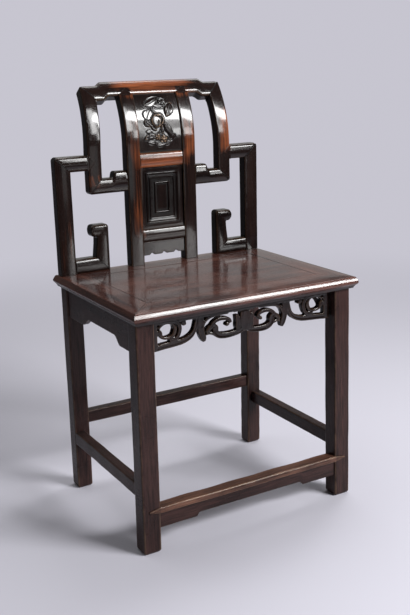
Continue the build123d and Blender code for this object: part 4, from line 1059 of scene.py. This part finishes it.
def leaned(start_x, end_x, heights):
    """Edge of an upper stile: straight, then leaning so that it is at end_x by the crest rail."""
    curled = bend_height + bend_radius * np.sin((heights - bend_height) / bend_radius)
    z = np.where(heights > bend_height, curled, heights)
    crest_z = bend_height + bend_radius * sin(crest_lean)
    share = np.clip((z - lean_start) / (crest_z - lean_start), 0, 2)
    return np.column_stack([start_x + (end_x - start_x) * share, heights])


def upper_stile_face(first, second):
    """Depth of the upper stile's crowned face at a place across it, less what keeps a point proud."""
    proud = 0.1
    across = np.clip((np.abs(first[:, 0]) - upper_inner) / (upper_outer - upper_inner), 0, 1)
    return upper_stile_crown - proud - upper_stile_crown * 4 * across * (1 - across)


def shoulder_pieces():
    """The outer stile and the shoulder rail, mitred together, and the point that the rail ends in."""
    x0, x1, low, top = stile_inner, stile_outer, shoulder_bottom, shoulder_top
    level, mitre = low - 30, low - 4
    outside, above = (arc(stile_corner, corner_round, *angles) for angles in ((0, 45), (45, 90)))
    stile = fret_member([
        (line((x1, seat_top), (x1, level)), line((x0, seat_top), (x0, level))),
        (line((x1, level), outside[0]), line((x0, level), (x0, mitre))),
        (outside, line((x0, mitre), (x0, low)))])
    rail = fret_member([
        (line((x0, low), (x0 - 4, low)), above),
        (line((x0 - 4, low), (upper_outer, low)), line(above[-1], (upper_outer, top)))],
        radius=upper_edge_round, crown=rail_crown)
    middle, half = (low + top) / 2, (top - low) / 2
    start, tip, blunt = upper_outer + 2, upper_outer - half + 0.4, 0.4
    point = member([(line((start, low), (upper_outer, low), (tip, middle - blunt)),
                     line((start, top), (upper_outer, top), (tip, middle + blunt)))],
                   upper_stile_face, point_depth, on_back, radius=0.25, vees=(False, False))
    return [stile], [rail, point]


def hooked_upright():
    """The short upright, flared at its foot, whose top hooks outward to a rounded head."""
    x0, x1, top, bend = upright_inner, upright_outer, upright_top, seat_top + 60
    foot_x, waist_x = x1 + upright_flare, x1 + 0.8
    half = hook_height / 2
    head = hook_reach - half, top - half
    crook = arc((x1 + 4, top - hook_height - 3.2), 4, 180, 140, 5)
    shoulder = arc((x0 + corner_round, top - corner_round), corner_round, 180, 90)
    return fret_member([
        (line((x0, seat_top), (x0, bend)), line((foot_x, foot_rail_top), (waist_x, bend))),
        (line((x0, bend), (x0, top - corner_round)), line((waist_x, bend), crook[0])),
        (np.vstack([shoulder, line((x0 + 20, top))]), crook),
        (line((x0 + 20, top), (head[0], top)), line(crook[-1], (head[0] + 2, top - hook_height + 0.1))),
        (full_arc(head, half, 90, 3), full_arc(head, half, -81, -3))],
        step=3.0, vees=(True, False), radius=(5.5, 4.5, 2.0, 2.0))


def upper_stile():
    """The stile that curls up to its mitre with the crest rail."""
    top = crest_run(crest_half_face - crest_step)
    low = crest_run(-crest_half_face - crest_step)
    start, points = arm_top + 10, 40
    low_round = arc((upper_outer - corner_round, arm_bottom + corner_round), corner_round, -45, 0)
    top_round = arc((crest_outer - corner_round, top - corner_round), corner_round, 0, 45)
    return fret_member([
        (line((upper_inner, arm_top), (upper_inner, arm_top + 2), (upper_inner, start)),
         np.vstack([low_round, line((upper_outer, start))])),
        (leaned(upper_inner, crest_inner, np.linspace(start, low - 4, points)),
         leaned(upper_outer, crest_outer, np.linspace(start, top_round[0][1], points))),
        (line((crest_inner, low - 4), (crest_inner, low)), top_round)], step=2.0, crown=upper_stile_crown)


def curled_arm():
    """The low arm from the upper stile to the splat, where its top curls up."""
    round_off = (arm_curl_top - arm_top) / 2
    curl_x = splat_outer + 32.2
    turn_in, turn_out, stop = curl_x + 12, curl_x - 8, splat_outer + 2
    corner = arc((upper_outer - corner_round, arm_bottom + corner_round), corner_round, -45, -90)
    fillet = arc((curl_x + small_round, arm_top + small_round), small_round, 270, 180, 5)
    curl = arc((curl_x - round_off, arm_curl_top - round_off), round_off, 0, 90)
    end_round = arc((splat_outer + small_round, arm_curl_top - small_round), small_round, 90, 180, 5)
    return fret_member([
        (np.vstack([corner, line((turn_in, arm_bottom))]),
         line((upper_inner, arm_top), (curl_x + small_round, arm_top))),
        (line((turn_in, arm_bottom), (turn_out, arm_bottom)), np.vstack([fillet, curl])),
        (line((turn_out, arm_bottom), (stop, arm_bottom)), line(curl[-1], end_round[0])),
        (line((stop, arm_bottom), (splat_outer, arm_bottom)), end_round)],
        step=3.0, radius=upper_edge_round, crown=rail_crown)


class MakeFret(ChairOperator, bpy.types.Operator):
    """The stepped fret: outer stiles, shoulder and foot rails, hooked uprights, upper stiles and arms."""

    bl_idname = "chair.fret"
    bl_label = "Fret"

    def execute(self, context):
        stile, shoulder = shoulder_pieces()
        foot_rail = fret_member([
            (line((upright_inner, seat_top), (stile_inner, seat_top)),
             line((upright_outer + upright_flare, foot_rail_top), (stile_inner, foot_rail_top)))],
            radius=upper_edge_round, crown=rail_crown)
        for name, patches in (("outer_stile", stile), ("shoulder_rail", shoulder), ("foot_rail", [foot_rail]),
                              ("inner_upright", [hooked_upright()]), ("upper_stile", [upper_stile()]),
                              ("curled_arm", [curled_arm()])):
            make_twins(name, patches, "dark_wood")
        return {"FINISHED"}


class MakeCrestRail(ChairOperator, bpy.types.Operator):
    """The crest rail, whose ends step down, mitred to the upper stiles."""

    bl_idname = "chair.crest_rail"
    bl_label = "Crest rail"

    def execute(self, context):
        top, low = crest_half_face, -crest_half_face
        end_top, end_low = top - crest_step, low - crest_step
        half_run = 8.0
        top_step, low_step = crest_outer - 44.0, crest_inner - 25.1
        corner = arc((crest_outer - corner_round, end_top - corner_round), corner_round, 90, 45)
        upper = np.vstack([
            line((0, top)), ogee((top_step - half_run, top), (top_step + half_run, end_top)), corner])
        lower = np.vstack([
            line((0, low)), ogee((low_step - half_run, low), (low_step + half_run, end_low)),
            line((crest_inner, end_low))])
        right, left = [], []
        for edge in (lower, upper):
            runs = bend_height + bend_radius * (crest_lean + np.arcsin(edge[:, 1] / bend_radius))
            right.append(np.column_stack([edge[:, 0], runs]))
            left.append(right[-1][::-1] * np.array([-1, 1]))
        rail = fret_member([left, right], radius=(3.6, 3.4, 2.6, 2.4), crown=crest_crown, step=4.0)
        make_piece("crest_rail", [rail], "red_wood")
        return {"FINISHED"}


class MakeSplatFrame(ChairOperator, bpy.types.Operator):
    """The splat's two stiles, with pointed shoulders on the crest rail, its cross rails and its apron."""

    bl_idname = "chair.splat_frame"
    bl_label = "Splat frame"

    def execute(self, context):
        x0, x1 = splat_inner, splat_outer
        top = crest_run(-crest_half_face)
        stile = fret_member([(line((x0, seat_top), (x0, top)), line((x1, seat_top), (x1, top)))],
                            step=2.0, crown=0.4)
        middle, blunt, side, face = (x0 + x1) / 2, 0.5, 0.6, 0.1
        tip = crest_run(-crest_half_face + 13.0)
        point = member([
            (line((x0 + side, top - 1), (x0 + side, top), (middle - blunt, tip)),
             line((x1 - side, top - 1), (x1 - side, top), (middle + blunt, tip)))],
            face, point_depth, on_back, radius=0.4, vees=(False, False))
        make_twins("splat_stile", [stile, point], "red_wood")
        for name, wood, low, high, rounding in (
                ("splat_mid_rail", "red_wood", mid_rail_bottom, mid_rail_top, (2.2, 5.0, 3.0, 1.8)),
                ("splat_low_rail", "dark_wood", low_rail_bottom, low_rail_top, (1.6, 4.0, 2.0, 1.8))):
            rail = fret_member([straight(-x0, x0, low, high)], radius=rounding, crown=rail_crown)
            make_piece(name, [rail], wood)

        half_notch, notch_height, spacing, low = 7.0, 5.0, 31.0, splat_apron_bottom
        edge = [line((-x0, low))]
        for centre in (-spacing, 0.0, spacing):
            edge.append(ogee((centre - half_notch, low), (centre, low + notch_height), 7))
            edge.append(ogee((centre, low + notch_height), (centre + half_notch, low), 7))
        edge.append(line((x0, low)))
        upper = line((-x0, low_rail_bottom), (x0, low_rail_bottom))
        board = fret_member([(np.vstack(edge), upper)], near=5.0, far=13.0, crown=0.0, radius=0.9, step=2.0)
        make_piece("splat_apron", [board], "dark_wood")
        return {"FINISHED"}


def blurred(values, reach):
    """Running average of a grid over a square of 2 * reach + 1 points."""
    for axis in (0, 1):
        padding = [(reach + 1, reach) if other == axis else (0, 0) for other in (0, 1)]
        total = np.cumsum(np.pad(values, padding, mode="edge"), axis=axis)
        ahead = np.take(total, range(2 * reach + 1, total.shape[axis]), axis=axis)
        behind = np.take(total, range(0, total.shape[axis] - 2 * reach - 1), axis=axis)
        values = (ahead - behind) / (2 * reach + 1)
    return values


class Relief:
    """Carving laid on a ground, shape by shape. Each shape has an inside measure, 1 in its middle and 0
    on its outline; it stands at its own level, and what lies under it is cut back round it."""

    def __init__(self, x, s):
        self.x, self.s = x, s
        self.height = np.zeros_like(x)

    def lay(self, inside, level, rise, edge=0.12, groove=0.16):
        """Puts a shape on: level at its outline, level + rise in its middle, with a steep side. Round it
        the work is cut back and a ditch is sunk, down to nothing at a distance of groove."""
        cut_back, ditch, least = 0.9, 0.22, 0.15
        side = np.clip(inside / edge, 0, 1)
        body = np.sqrt(np.clip(1 - (1 - np.clip(inside, 0, 1)) ** 2, 0, 1))
        shape = (level + rise * body) * np.sin(side * pi / 2)
        around = np.clip(1 + inside / groove, 0, 1)
        under = self.height * (1 - cut_back * around) - ditch * np.sin(around * pi)
        self.height = np.where(inside > 0, np.maximum(shape, least), under)

    def local(self, centre, turn):
        """Coordinates along and across a shape that is turned by an angle in degrees."""
        dx, ds = self.x - centre[0], self.s - centre[1]
        c, d = np.cos(radians(turn)), np.sin(radians(turn))
        return dx * c + ds * d, -dx * d + ds * c

    def fruit(self, centre, radius, turn, level=0.5, rise=0.5):
        """A peach: a disc drawn out to a tip, 1 - sqrt((0.92 u) ** 2 + (v * (1 + 0.35 u ** 2)) ** 2) with
        u along and v across it, and with a cleft along its axis."""
        along, across = self.local(centre, turn)
        along, across = along / radius, across / radius
        tip = np.where(along > 0, 1 + 0.35 * along ** 2, 1.0)
        inside = 1 - np.sqrt((along * 0.92) ** 2 + (across * tip) ** 2)
        cleft = np.exp(-((across - 0.25 - 0.1 * along) / 0.07) ** 2) * (along > -0.2)
        self.lay(inside, level * (1 - 0.35 * cleft), rise * (1 - 0.5 * cleft))

    def leaf(self, centre, length, width, turn, bend, level, rise, veins):
        """A leaf: half width sin(pi t) ** 0.7 along a bent midrib, with a cut rib and slanting veins."""
        along, across = self.local(centre, turn)
        t = along / length + 0.5
        bent = across - bend * length * (t - 0.5) ** 2
        half = width / 2 * np.sin(pi * np.clip(t, 0, 1)) ** 0.7
        inside = np.where((t > 0) & (t < 1), 1 - np.abs(bent) / np.maximum(half, 1e-3), -1.0)
        rib = np.exp(-(bent / 0.9) ** 2)
        slant = t * veins - np.abs(bent) / width * 1.6
        vein = 0.5 + 0.5 * np.cos(2 * pi * slant)
        self.lay(inside, level * (1 - 0.45 * rib), rise * (0.55 + 0.45 * vein) * (1 - 0.5 * rib))

    def blossom(self, centre, radius, level=0.35, rise=0.4):
        """Five petals: a disc of radius 0.72 + 0.28 * |cos(2.5 angle)|, with seams and a round eye."""
        turn = 12
        along, across = self.local(centre, turn)
        far = np.hypot(along, across) / radius
        angle = np.arctan2(across, along)
        inside = 1 - far / (0.72 + 0.28 * np.abs(np.cos(2.5 * angle)))
        seam = np.abs(np.sin(2.5 * angle)) ** 8 * (far > 0.25)
        eye = np.exp(-(far / 0.2) ** 2)
        self.lay(inside, level * (1 - 0.4 * seam) + 0.2 * eye, rise * (1 - 0.5 * seam))

    def gap_to(self, knots):
        """Distance of every point from a smooth line through some knots."""
        path = smooth_line(knots, 40)
        gap = np.full(self.x.shape, 1e3)
        for start, end in zip(path[:-1], path[1:]):
            step = end - start
            t = ((self.x - start[0]) * step[0] + (self.s - start[1]) * step[1]) / (step @ step)
            t = np.clip(t, 0, 1)
            dx, ds = self.x - start[0] - t * step[0], self.s - start[1] - t * step[1]
            gap = np.minimum(gap, np.hypot(dx, ds))
        return gap

    def twig(self, knots, half_width, level=0.35):
        """A twig: a round ridge along a curve."""
        self.lay(1 - self.gap_to(knots) / half_width, level * 0.5, level * 0.6, edge=0.3, groove=0.6)

    def cut(self, knots, half_width, depth):
        """A slit along a curve: depth * exp(-(gap / half width) ** 2)."""
        self.height = self.height - depth * np.exp(-(self.gap_to(knots) / half_width) ** 2)


# The leaves, in the order that they are laid on: the middle as (x, distance up the unrolled back),
# length, width, turn in degrees, bend, level, rise and number of veins.
carved_leaves = [
    ((-12, 861), 42, 19, 28, 0.3, 0.35, 0.35, 0), ((13, 862), 22, 15, -40, 0.3, 0.3, 0.35, 2),
    ((2, 851), 24, 8, -6, 0.2, 0.25, 0.35, 0), ((-26, 833), 28, 24, 62, -0.2, 0.4, 0.1, 0),
    ((-30, 813), 20, 14, -38, 0.3, 0.45, 0.35, 4), ((-15, 803), 18, 10, -42, 0.2, 0.45, 0.35, 0),
    ((7, 801), 24, 11, -105, 0.2, 0.35, 0.35, 0), ((19, 800), 44, 15, -58, 0.15, 0.5, 0.5, 0),
    ((31, 783), 14, 15, -80, 0.0, 0.4, 0.35, 0), ((-27, 796), 16, 9, 170, 0.2, 0.25, 0.35, 0),
    ((-24, 785), 32, 15, 6, -0.5, 0.5, 0.35, 3), ((-22, 772), 24, 9, 165, 0.2, 0.25, 0.35, 0),
    ((0, 766), 26, 9, 4, 0.3, 0.3, 0.35, 0), ((18, 770), 19, 10, 28, 0.2, 0.35, 0.35, 0),
    ((28, 843), 36, 20, 65, 0.1, 0.55, 0.4, 0),
]


def fruit_and_leaves(x, s):
    """The splat's ornament: fruit on a twig among leaves, as heights from 0 to about 1."""
    carving = Relief(x, s)
    carving.twig([(27, 776), (22, 790), (12, 812), (8, 832), (-6, 836), (-14, 846), (-20, 858)], 2.2)
    carving.twig([(12, 812), (2, 796), (-12, 788), (-30, 792)], 2.0)
    for centre, *shape in carved_leaves:
        carving.leaf(centre, *shape)
    carving.fruit((-6, 818), 14.5, -108, level=0.7, rise=0.45)
    carving.twig([(-4, 831), (6, 830), (11, 822), (7, 812)], 2.4, level=0.8)
    carving.cut([(1, 827), (5, 821), (4, 814)], 1.3, 0.8)
    carving.blossom((-6, 783), 7.5, level=0.5)
    carving.blossom((7, 778), 9.5, level=0.55)
    for slit in ([(-1, 785), (1, 781)], [(-8, 776), (-4, 774)], [(1, 776), (4, 774)]):
        carving.cut(slit, 1.5, 0.5)
    return carving.height


def slab(front, back, grain, wear, grime):
    """A closed board between a front and a back grid of the same size."""
    rows, columns = front.shape[:2]
    count = rows * columns
    face = quads(rows, columns, closed=False)
    rim = np.concatenate([
        np.arange(columns), np.arange(1, rows) * columns + columns - 1,
        (rows - 1) * columns + np.arange(columns - 2, -1, -1), np.arange(rows - 2, 0, -1) * columns])
    after = np.roll(rim, -1)
    edge = np.column_stack([rim, rim + count, after + count, after])
    both = np.concatenate([grain.reshape(-1, 3), grain.reshape(-1, 3) + np.array([0, 0, 9.0])])
    zeros = np.zeros(count)
    return {"points": np.vstack([front.reshape(-1, 3), back.reshape(-1, 3)]),
            "faces": np.vstack([face, face[:, ::-1] + count, edge]), "caps": [], "grain": both,
            "wear": np.concatenate([wear.ravel(), zeros]), "grime": np.concatenate([grime.ravel(), zeros])}


class MakeCarvedPanel(ChairOperator, bpy.types.Operator):
    """The splat's upper panel, carved with fruit and leaves."""

    bl_idname = "chair.carved_panel"
    bl_label = "Carved panel"

    def execute(self, context):
        carving = context.scene.chair_carving
        step = carving.fineness * 1000
        let_in, ground, thickness_end, seam_reach = 1.0, 4.0, 12.0, 3.0
        low, high = mid_rail_top - let_in, crest_run(-crest_half_face) + 2 * let_in
        half = splat_inner + let_in
        x, s = np.meshgrid(np.linspace(-half, half, int(2 * half / step)),
                           np.linspace(low, high, int((high - low) / step)))
        height = blurred(fruit_and_leaves(x, s), 1)
        proud = height - blurred(height, 4)
        front = on_back(x, s, ground - height * carving.relief * 1000)
        back = on_back(x, s, thickness_end)
        edge = np.minimum(splat_inner - np.abs(x), np.minimum(s - mid_rail_top, high - 2 * let_in - s))
        seam = np.clip(1 - edge / seam_reach, 0, 1)
        # Hollows and the ditches round the shapes are darkened: partly grime, partly painted shade of the
        # grooves. The seam by the frame is a dark joint.
        grime = np.clip(np.clip(-proud * 6, 0, 1) + seam, 0, 1)
        rubbed = np.zeros_like(x)
        for centre, reach, amount in (((-6, 818), 12, 0.5), ((7, 778), 9, 0.8), ((-6, 783), 7, 0.6)):
            rubbed += amount * np.exp(-((x - centre[0]) ** 2 + (s - centre[1]) ** 2) / reach ** 2)
        wear = np.clip(proud * 3.5 + rubbed * (height > 0.2), 0, 1)
        panel = slab(front, back, np.stack([s, x, height], axis=-1), wear, grime)
        make_piece("carved_panel", [panel], "carved_wood", uneven=0.05,
                   sharp=75, warm=0.0)
        return {"FINISHED"}


# Section of the lower panel from its edge to its middle: (distance in from the edge, depth).
coffer_section = [
    (-3.0, 5.3), (2.0, 5.2), (4.0, 5.0), (9.5, 5.4), (11.2, 5.6), (11.7, 4.4),
    (12.3, 3.4), (13.2, 3.1), (14.2, 3.5), (14.8, 4.6), (15.4, 5.6), (18.0, 6.9), (20.5, 7.2), (21.3, 6.2),
    (22.2, 5.4), (23.2, 5.6), (24.0, 6.8), (24.6, 7.6), (31.0, 7.9), (33.0, 7.8), (33.6, 6.4), (34.5, 5.3),
    (35.6, 5.1), (36.6, 5.6), (37.2, 7.0), (38.0, 8.6), (42.0, 8.6), (50.0, 8.6)]


class MakeCofferedPanel(ChairOperator, bpy.types.Operator):
    """The splat's lower panel: rectangular mouldings, one inside the other, round a sunk field."""

    bl_idname = "chair.coffered_panel"
    bl_label = "Coffered panel"

    def execute(self, context):
        low, high, back, parts, sharpness = low_rail_top, mid_rail_bottom, 14.0, 8, 1.2
        inset, depth = np.array([(coffer_section[0][0], back), *coffer_section]).T
        sides = np.array([(-1, -1), (1, -1), (1, 1), (-1, 1), (-1, -1)], dtype=float)
        shares = np.linspace(0, 4, 4 * parts + 1)[:-1]
        across, up = (np.interp(shares, range(5), column)[None, :] for column in sides.T)
        x = (splat_inner - inset)[:, None] * across
        s = (high + low) / 2 + ((high - low) / 2 - inset)[:, None] * up
        depths = np.broadcast_to(depth[:, None], x.shape)
        smoothed = np.convolve(np.pad(depth, 2, mode="edge"), np.ones(5) / 5, mode="valid")
        wear, grime = (np.broadcast_to(np.clip(proud * sharpness, 0, 1)[:, None], x.shape)
                       for proud in (smoothed - depth, depth - smoothed))
        panel = tube(on_back(x, s, depths), np.stack([s, x, depths], axis=-1), wear, grime)
        make_piece("coffered_panel", [panel], "panel_wood", uneven=0.05,
                   sharp=50, warm=0.3)
        return {"FINISHED"}


class FinishHiddenJoinery(ChairOperator, bpy.types.Operator):
    """Gives the battens under the seat and the loose tenons their finish; their own solids stay."""

    bl_idname = "chair.hidden_joinery"
    bl_label = "Hidden joinery"

    def execute(self, context):
        for node in ("seat_batten_left", "seat_batten_right", "arm_tenon_left", "arm_tenon_right"):
            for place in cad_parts[node].material_slots:
                place.material = bpy.data.materials["unseen_wood"]
        return {"FINISHED"}


# ---- The stage -----------------------------------------------------------------------------
camera_place = Vector((-0.9465, -1.66795, 0.9468))
camera_azimuth, camera_elevation, camera_roll = radians(-29.92), radians(15.23), radians(-1.47)

# The lights: name, place, what it is aimed at, width and height in metres, the setting that holds its
# radiance, its share of that radiance, and its roll in degrees.
back_middle, chair_middle = (0, 0.17, 0.83), (0, 0, 0.5)
lights = [
    ("key_light", (1.669, -2.298, 2.015), back_middle, 1.16, 0.56, "key", 1.0, -36),
    ("soft_key", (1.129, -2.618, 2.048), back_middle, 0.40, 1.6, "key", 0.46, 0),
    ("tail_key", (1.637, -2.600, 1.545), back_middle, 0.60, 0.44, "key", 0.11, 0),
    ("under_key", (1.62, -2.68, 1.08), chair_middle, 0.44, 0.45, "key", 0.4, 0),
    ("edge_light", (1.20, 0.55, 2.90), (0, 0.16, 0.65), 0.7, 1.9, "edge", 1.0, 0),
    ("top_light", (-0.26, 0.91, 2.92), chair_middle, 2.6, 1.8, "top", 1.0, 0),
    ("rear_light", (1.35, 2.45, 0.75), (0, 0, 0.45), 2.0, 1.0, "rear", 1.0, 0),
    ("fill_light", (0.80, -2.25, 0.43), (-0.2, 0.15, 0.72), 0.50, 0.30, "fill", 1.0, 0),
]


def camera_turn():
    """The camera's rotation: it looks back along its azimuth and elevation, then rolls."""
    back = Vector((np.sin(camera_azimuth) * np.cos(camera_elevation),
                   -np.cos(camera_azimuth) * np.cos(camera_elevation), np.sin(camera_elevation)))
    level = (-back).cross(Vector((0, 0, 1))).normalized()
    upright = level.cross(-back)
    right = np.cos(camera_roll) * level + np.sin(camera_roll) * upright
    up = -np.sin(camera_roll) * level + np.cos(camera_roll) * upright
    return Matrix((right, up, back)).transposed()


def area_light(name, place, aim, width, height, radiance, roll):
    """A rectangular light at a place, facing its aim and rolled by an angle in degrees. Its power
    follows from its radiance: power = radiance * pi * area."""
    lamp = bpy.data.lights.new(name, "AREA")
    lamp.shape = "RECTANGLE"
    lamp.size, lamp.size_y = width, height
    lamp.energy = radiance * pi * width * height
    light = bpy.data.objects.new(name, lamp)
    turn = (Vector(place) - Vector(aim)).to_track_quat("Z", "Y").to_matrix().to_4x4()
    light.matrix_world = Matrix.Translation(Vector(place)) @ turn @ Matrix.Rotation(radians(roll), 4, "Z")
    light.visible_camera = False
    bpy.context.scene.collection.objects.link(light)


def floor_material(colour):
    """Pale floor. Far from the chair the camera sees it as a plain glow of the backdrop's colour, so that
    it meets the world without a line; other rays see it darken there, as the floor of a studio does."""
    near_edge, far_edge, paleness, dim = 0.9, 2.8, 0.92, 0.12
    material = bpy.data.materials.new("pale_floor")
    tree = emptied_tree(material)
    place = add_node(tree, "ShaderNodeTexCoord").outputs["Object"]
    far = add_node(tree, "ShaderNodeVectorMath", {0: place}, operation="LENGTH").outputs["Value"]
    share = spread(tree, far, near_edge, far_edge)
    matt = add_node(tree, "ShaderNodeBsdfPrincipled", {
        "Base Color": (*(paleness * part for part in colour), 1), "Roughness": 0.55,
        "Specular IOR Level": 0.3})
    seen = add_node(tree, "ShaderNodeLightPath").outputs["Is Camera Ray"]
    strength = spread(tree, seen, 0, 1, dim, 1)
    glow = add_node(tree, "ShaderNodeEmission", {"Color": (*colour, 1), "Strength": strength})
    show(tree, add_node(tree, "ShaderNodeMixShader", {0: share, 1: matt.outputs[0], 2: glow.outputs[0]}))
    return material


def set_world(colour, strength):
    """Even light from all sides, behind which the camera sees the backdrop's colour."""
    world = bpy.data.worlds.new("pale_surroundings")
    tree = emptied_tree(world)
    seen = add_node(tree, "ShaderNodeLightPath").outputs["Is Camera Ray"]
    light = add_node(tree, "ShaderNodeBackground", {"Color": (1, 1, 1, 1), "Strength": strength})
    backdrop = add_node(tree, "ShaderNodeBackground", {"Color": (*colour, 1), "Strength": 1.0})
    both = add_node(tree, "ShaderNodeMixShader", {0: seen, 1: light.outputs[0], 2: backdrop.outputs[0]})
    show(tree, both, "World")
    bpy.context.scene.world = world


def make_floor(colour):
    """A round floor, level with the feet."""
    radii = np.concatenate([[0.0], np.geomspace(0.3, 40, 24)])[:, None]
    turns = np.linspace(0, 2 * pi, 49)[:-1]
    points = np.stack(np.broadcast_arrays(radii * np.cos(turns), radii * np.sin(turns), 0.0), axis=-1)
    mesh = bpy.data.meshes.new("floor")
    mesh.from_pydata(points.reshape(-1, 3), [], quads(len(radii), len(turns), closed=True).tolist())
    mesh.materials.append(floor_material(colour))
    floor = bpy.data.objects.new("floor", mesh)
    bpy.context.scene.collection.objects.link(floor)


class MakeStage(ChairOperator, bpy.types.Operator):
    """Floor, surroundings, lights and camera."""

    bl_idname = "chair.stage"
    bl_label = "Stage"

    def execute(self, context):
        scene = context.scene
        settings = scene.chair_stage
        make_floor(tuple(settings.floor))
        set_world(tuple(settings.floor), settings.around)
        for name, place, aim, width, height, source, share, roll in lights:
            area_light(name, place, aim, width, height, getattr(settings, source) * share, roll)
        lens = bpy.data.cameras.new("camera")
        lens.sensor_fit = "VERTICAL"
        lens.sensor_height = 36
        lens.lens = settings.lens
        camera = bpy.data.objects.new("camera", lens)
        camera.matrix_world = Matrix.Translation(camera_place) @ camera_turn().to_4x4()
        scene.collection.objects.link(camera)
        scene.camera = camera
        scene.view_settings.view_transform = "Standard"
        return {"FINISHED"}


class CHAIR_PT_pieces(bpy.types.Panel):
    """Lists the chair's settings and its pieces in the sidebar."""

    bl_label = "Chair"
    bl_space_type = "VIEW_3D"
    bl_region_type = "UI"
    bl_category = "Chair"

    def draw(self, context):
        for name, settings in setting_groups:
            box = self.layout.box()
            box.label(text=settings.__doc__)
            for key in settings.__annotations__:
                box.prop(getattr(context.scene, name), key)
        for maker in makers:
            self.layout.operator(maker.bl_idname)


setting_groups = (("chair_finish", FinishSettings), ("chair_carving", CarvingSettings),
                  ("chair_stage", StageSettings))
makers = (MakeFinishes, MakeStage, MakeLegs, MakePlainAprons, MakeFrontApron, MakeStretchers, MakeFootrest,
          MakeSeatFrame, MakeSeatPanel, MakeFret, MakeCrestRail, MakeSplatFrame, MakeCarvedPanel,
          MakeCofferedPanel, FinishHiddenJoinery)


def register():
    """Makes the settings, the operators and the panel known to Blender."""
    for name, group in setting_groups:
        bpy.utils.register_class(group)
        setattr(bpy.types.Scene, name, PointerProperty(type=group))
    for shown in (*makers, CHAIR_PT_pieces):
        bpy.utils.register_class(shown)


def unregister():
    """Takes away what register made known, in the opposite order."""
    for shown in (CHAIR_PT_pieces, *reversed(makers)):
        bpy.utils.unregister_class(shown)
    for name, group in reversed(setting_groups):
        delattr(bpy.types.Scene, name)
        bpy.utils.unregister_class(group)


def main():
    register()
    for maker in makers:
        group, name = maker.bl_idname.split(".")
        getattr(getattr(bpy.ops, group), name)()


if __name__ == "__main__":
    main()
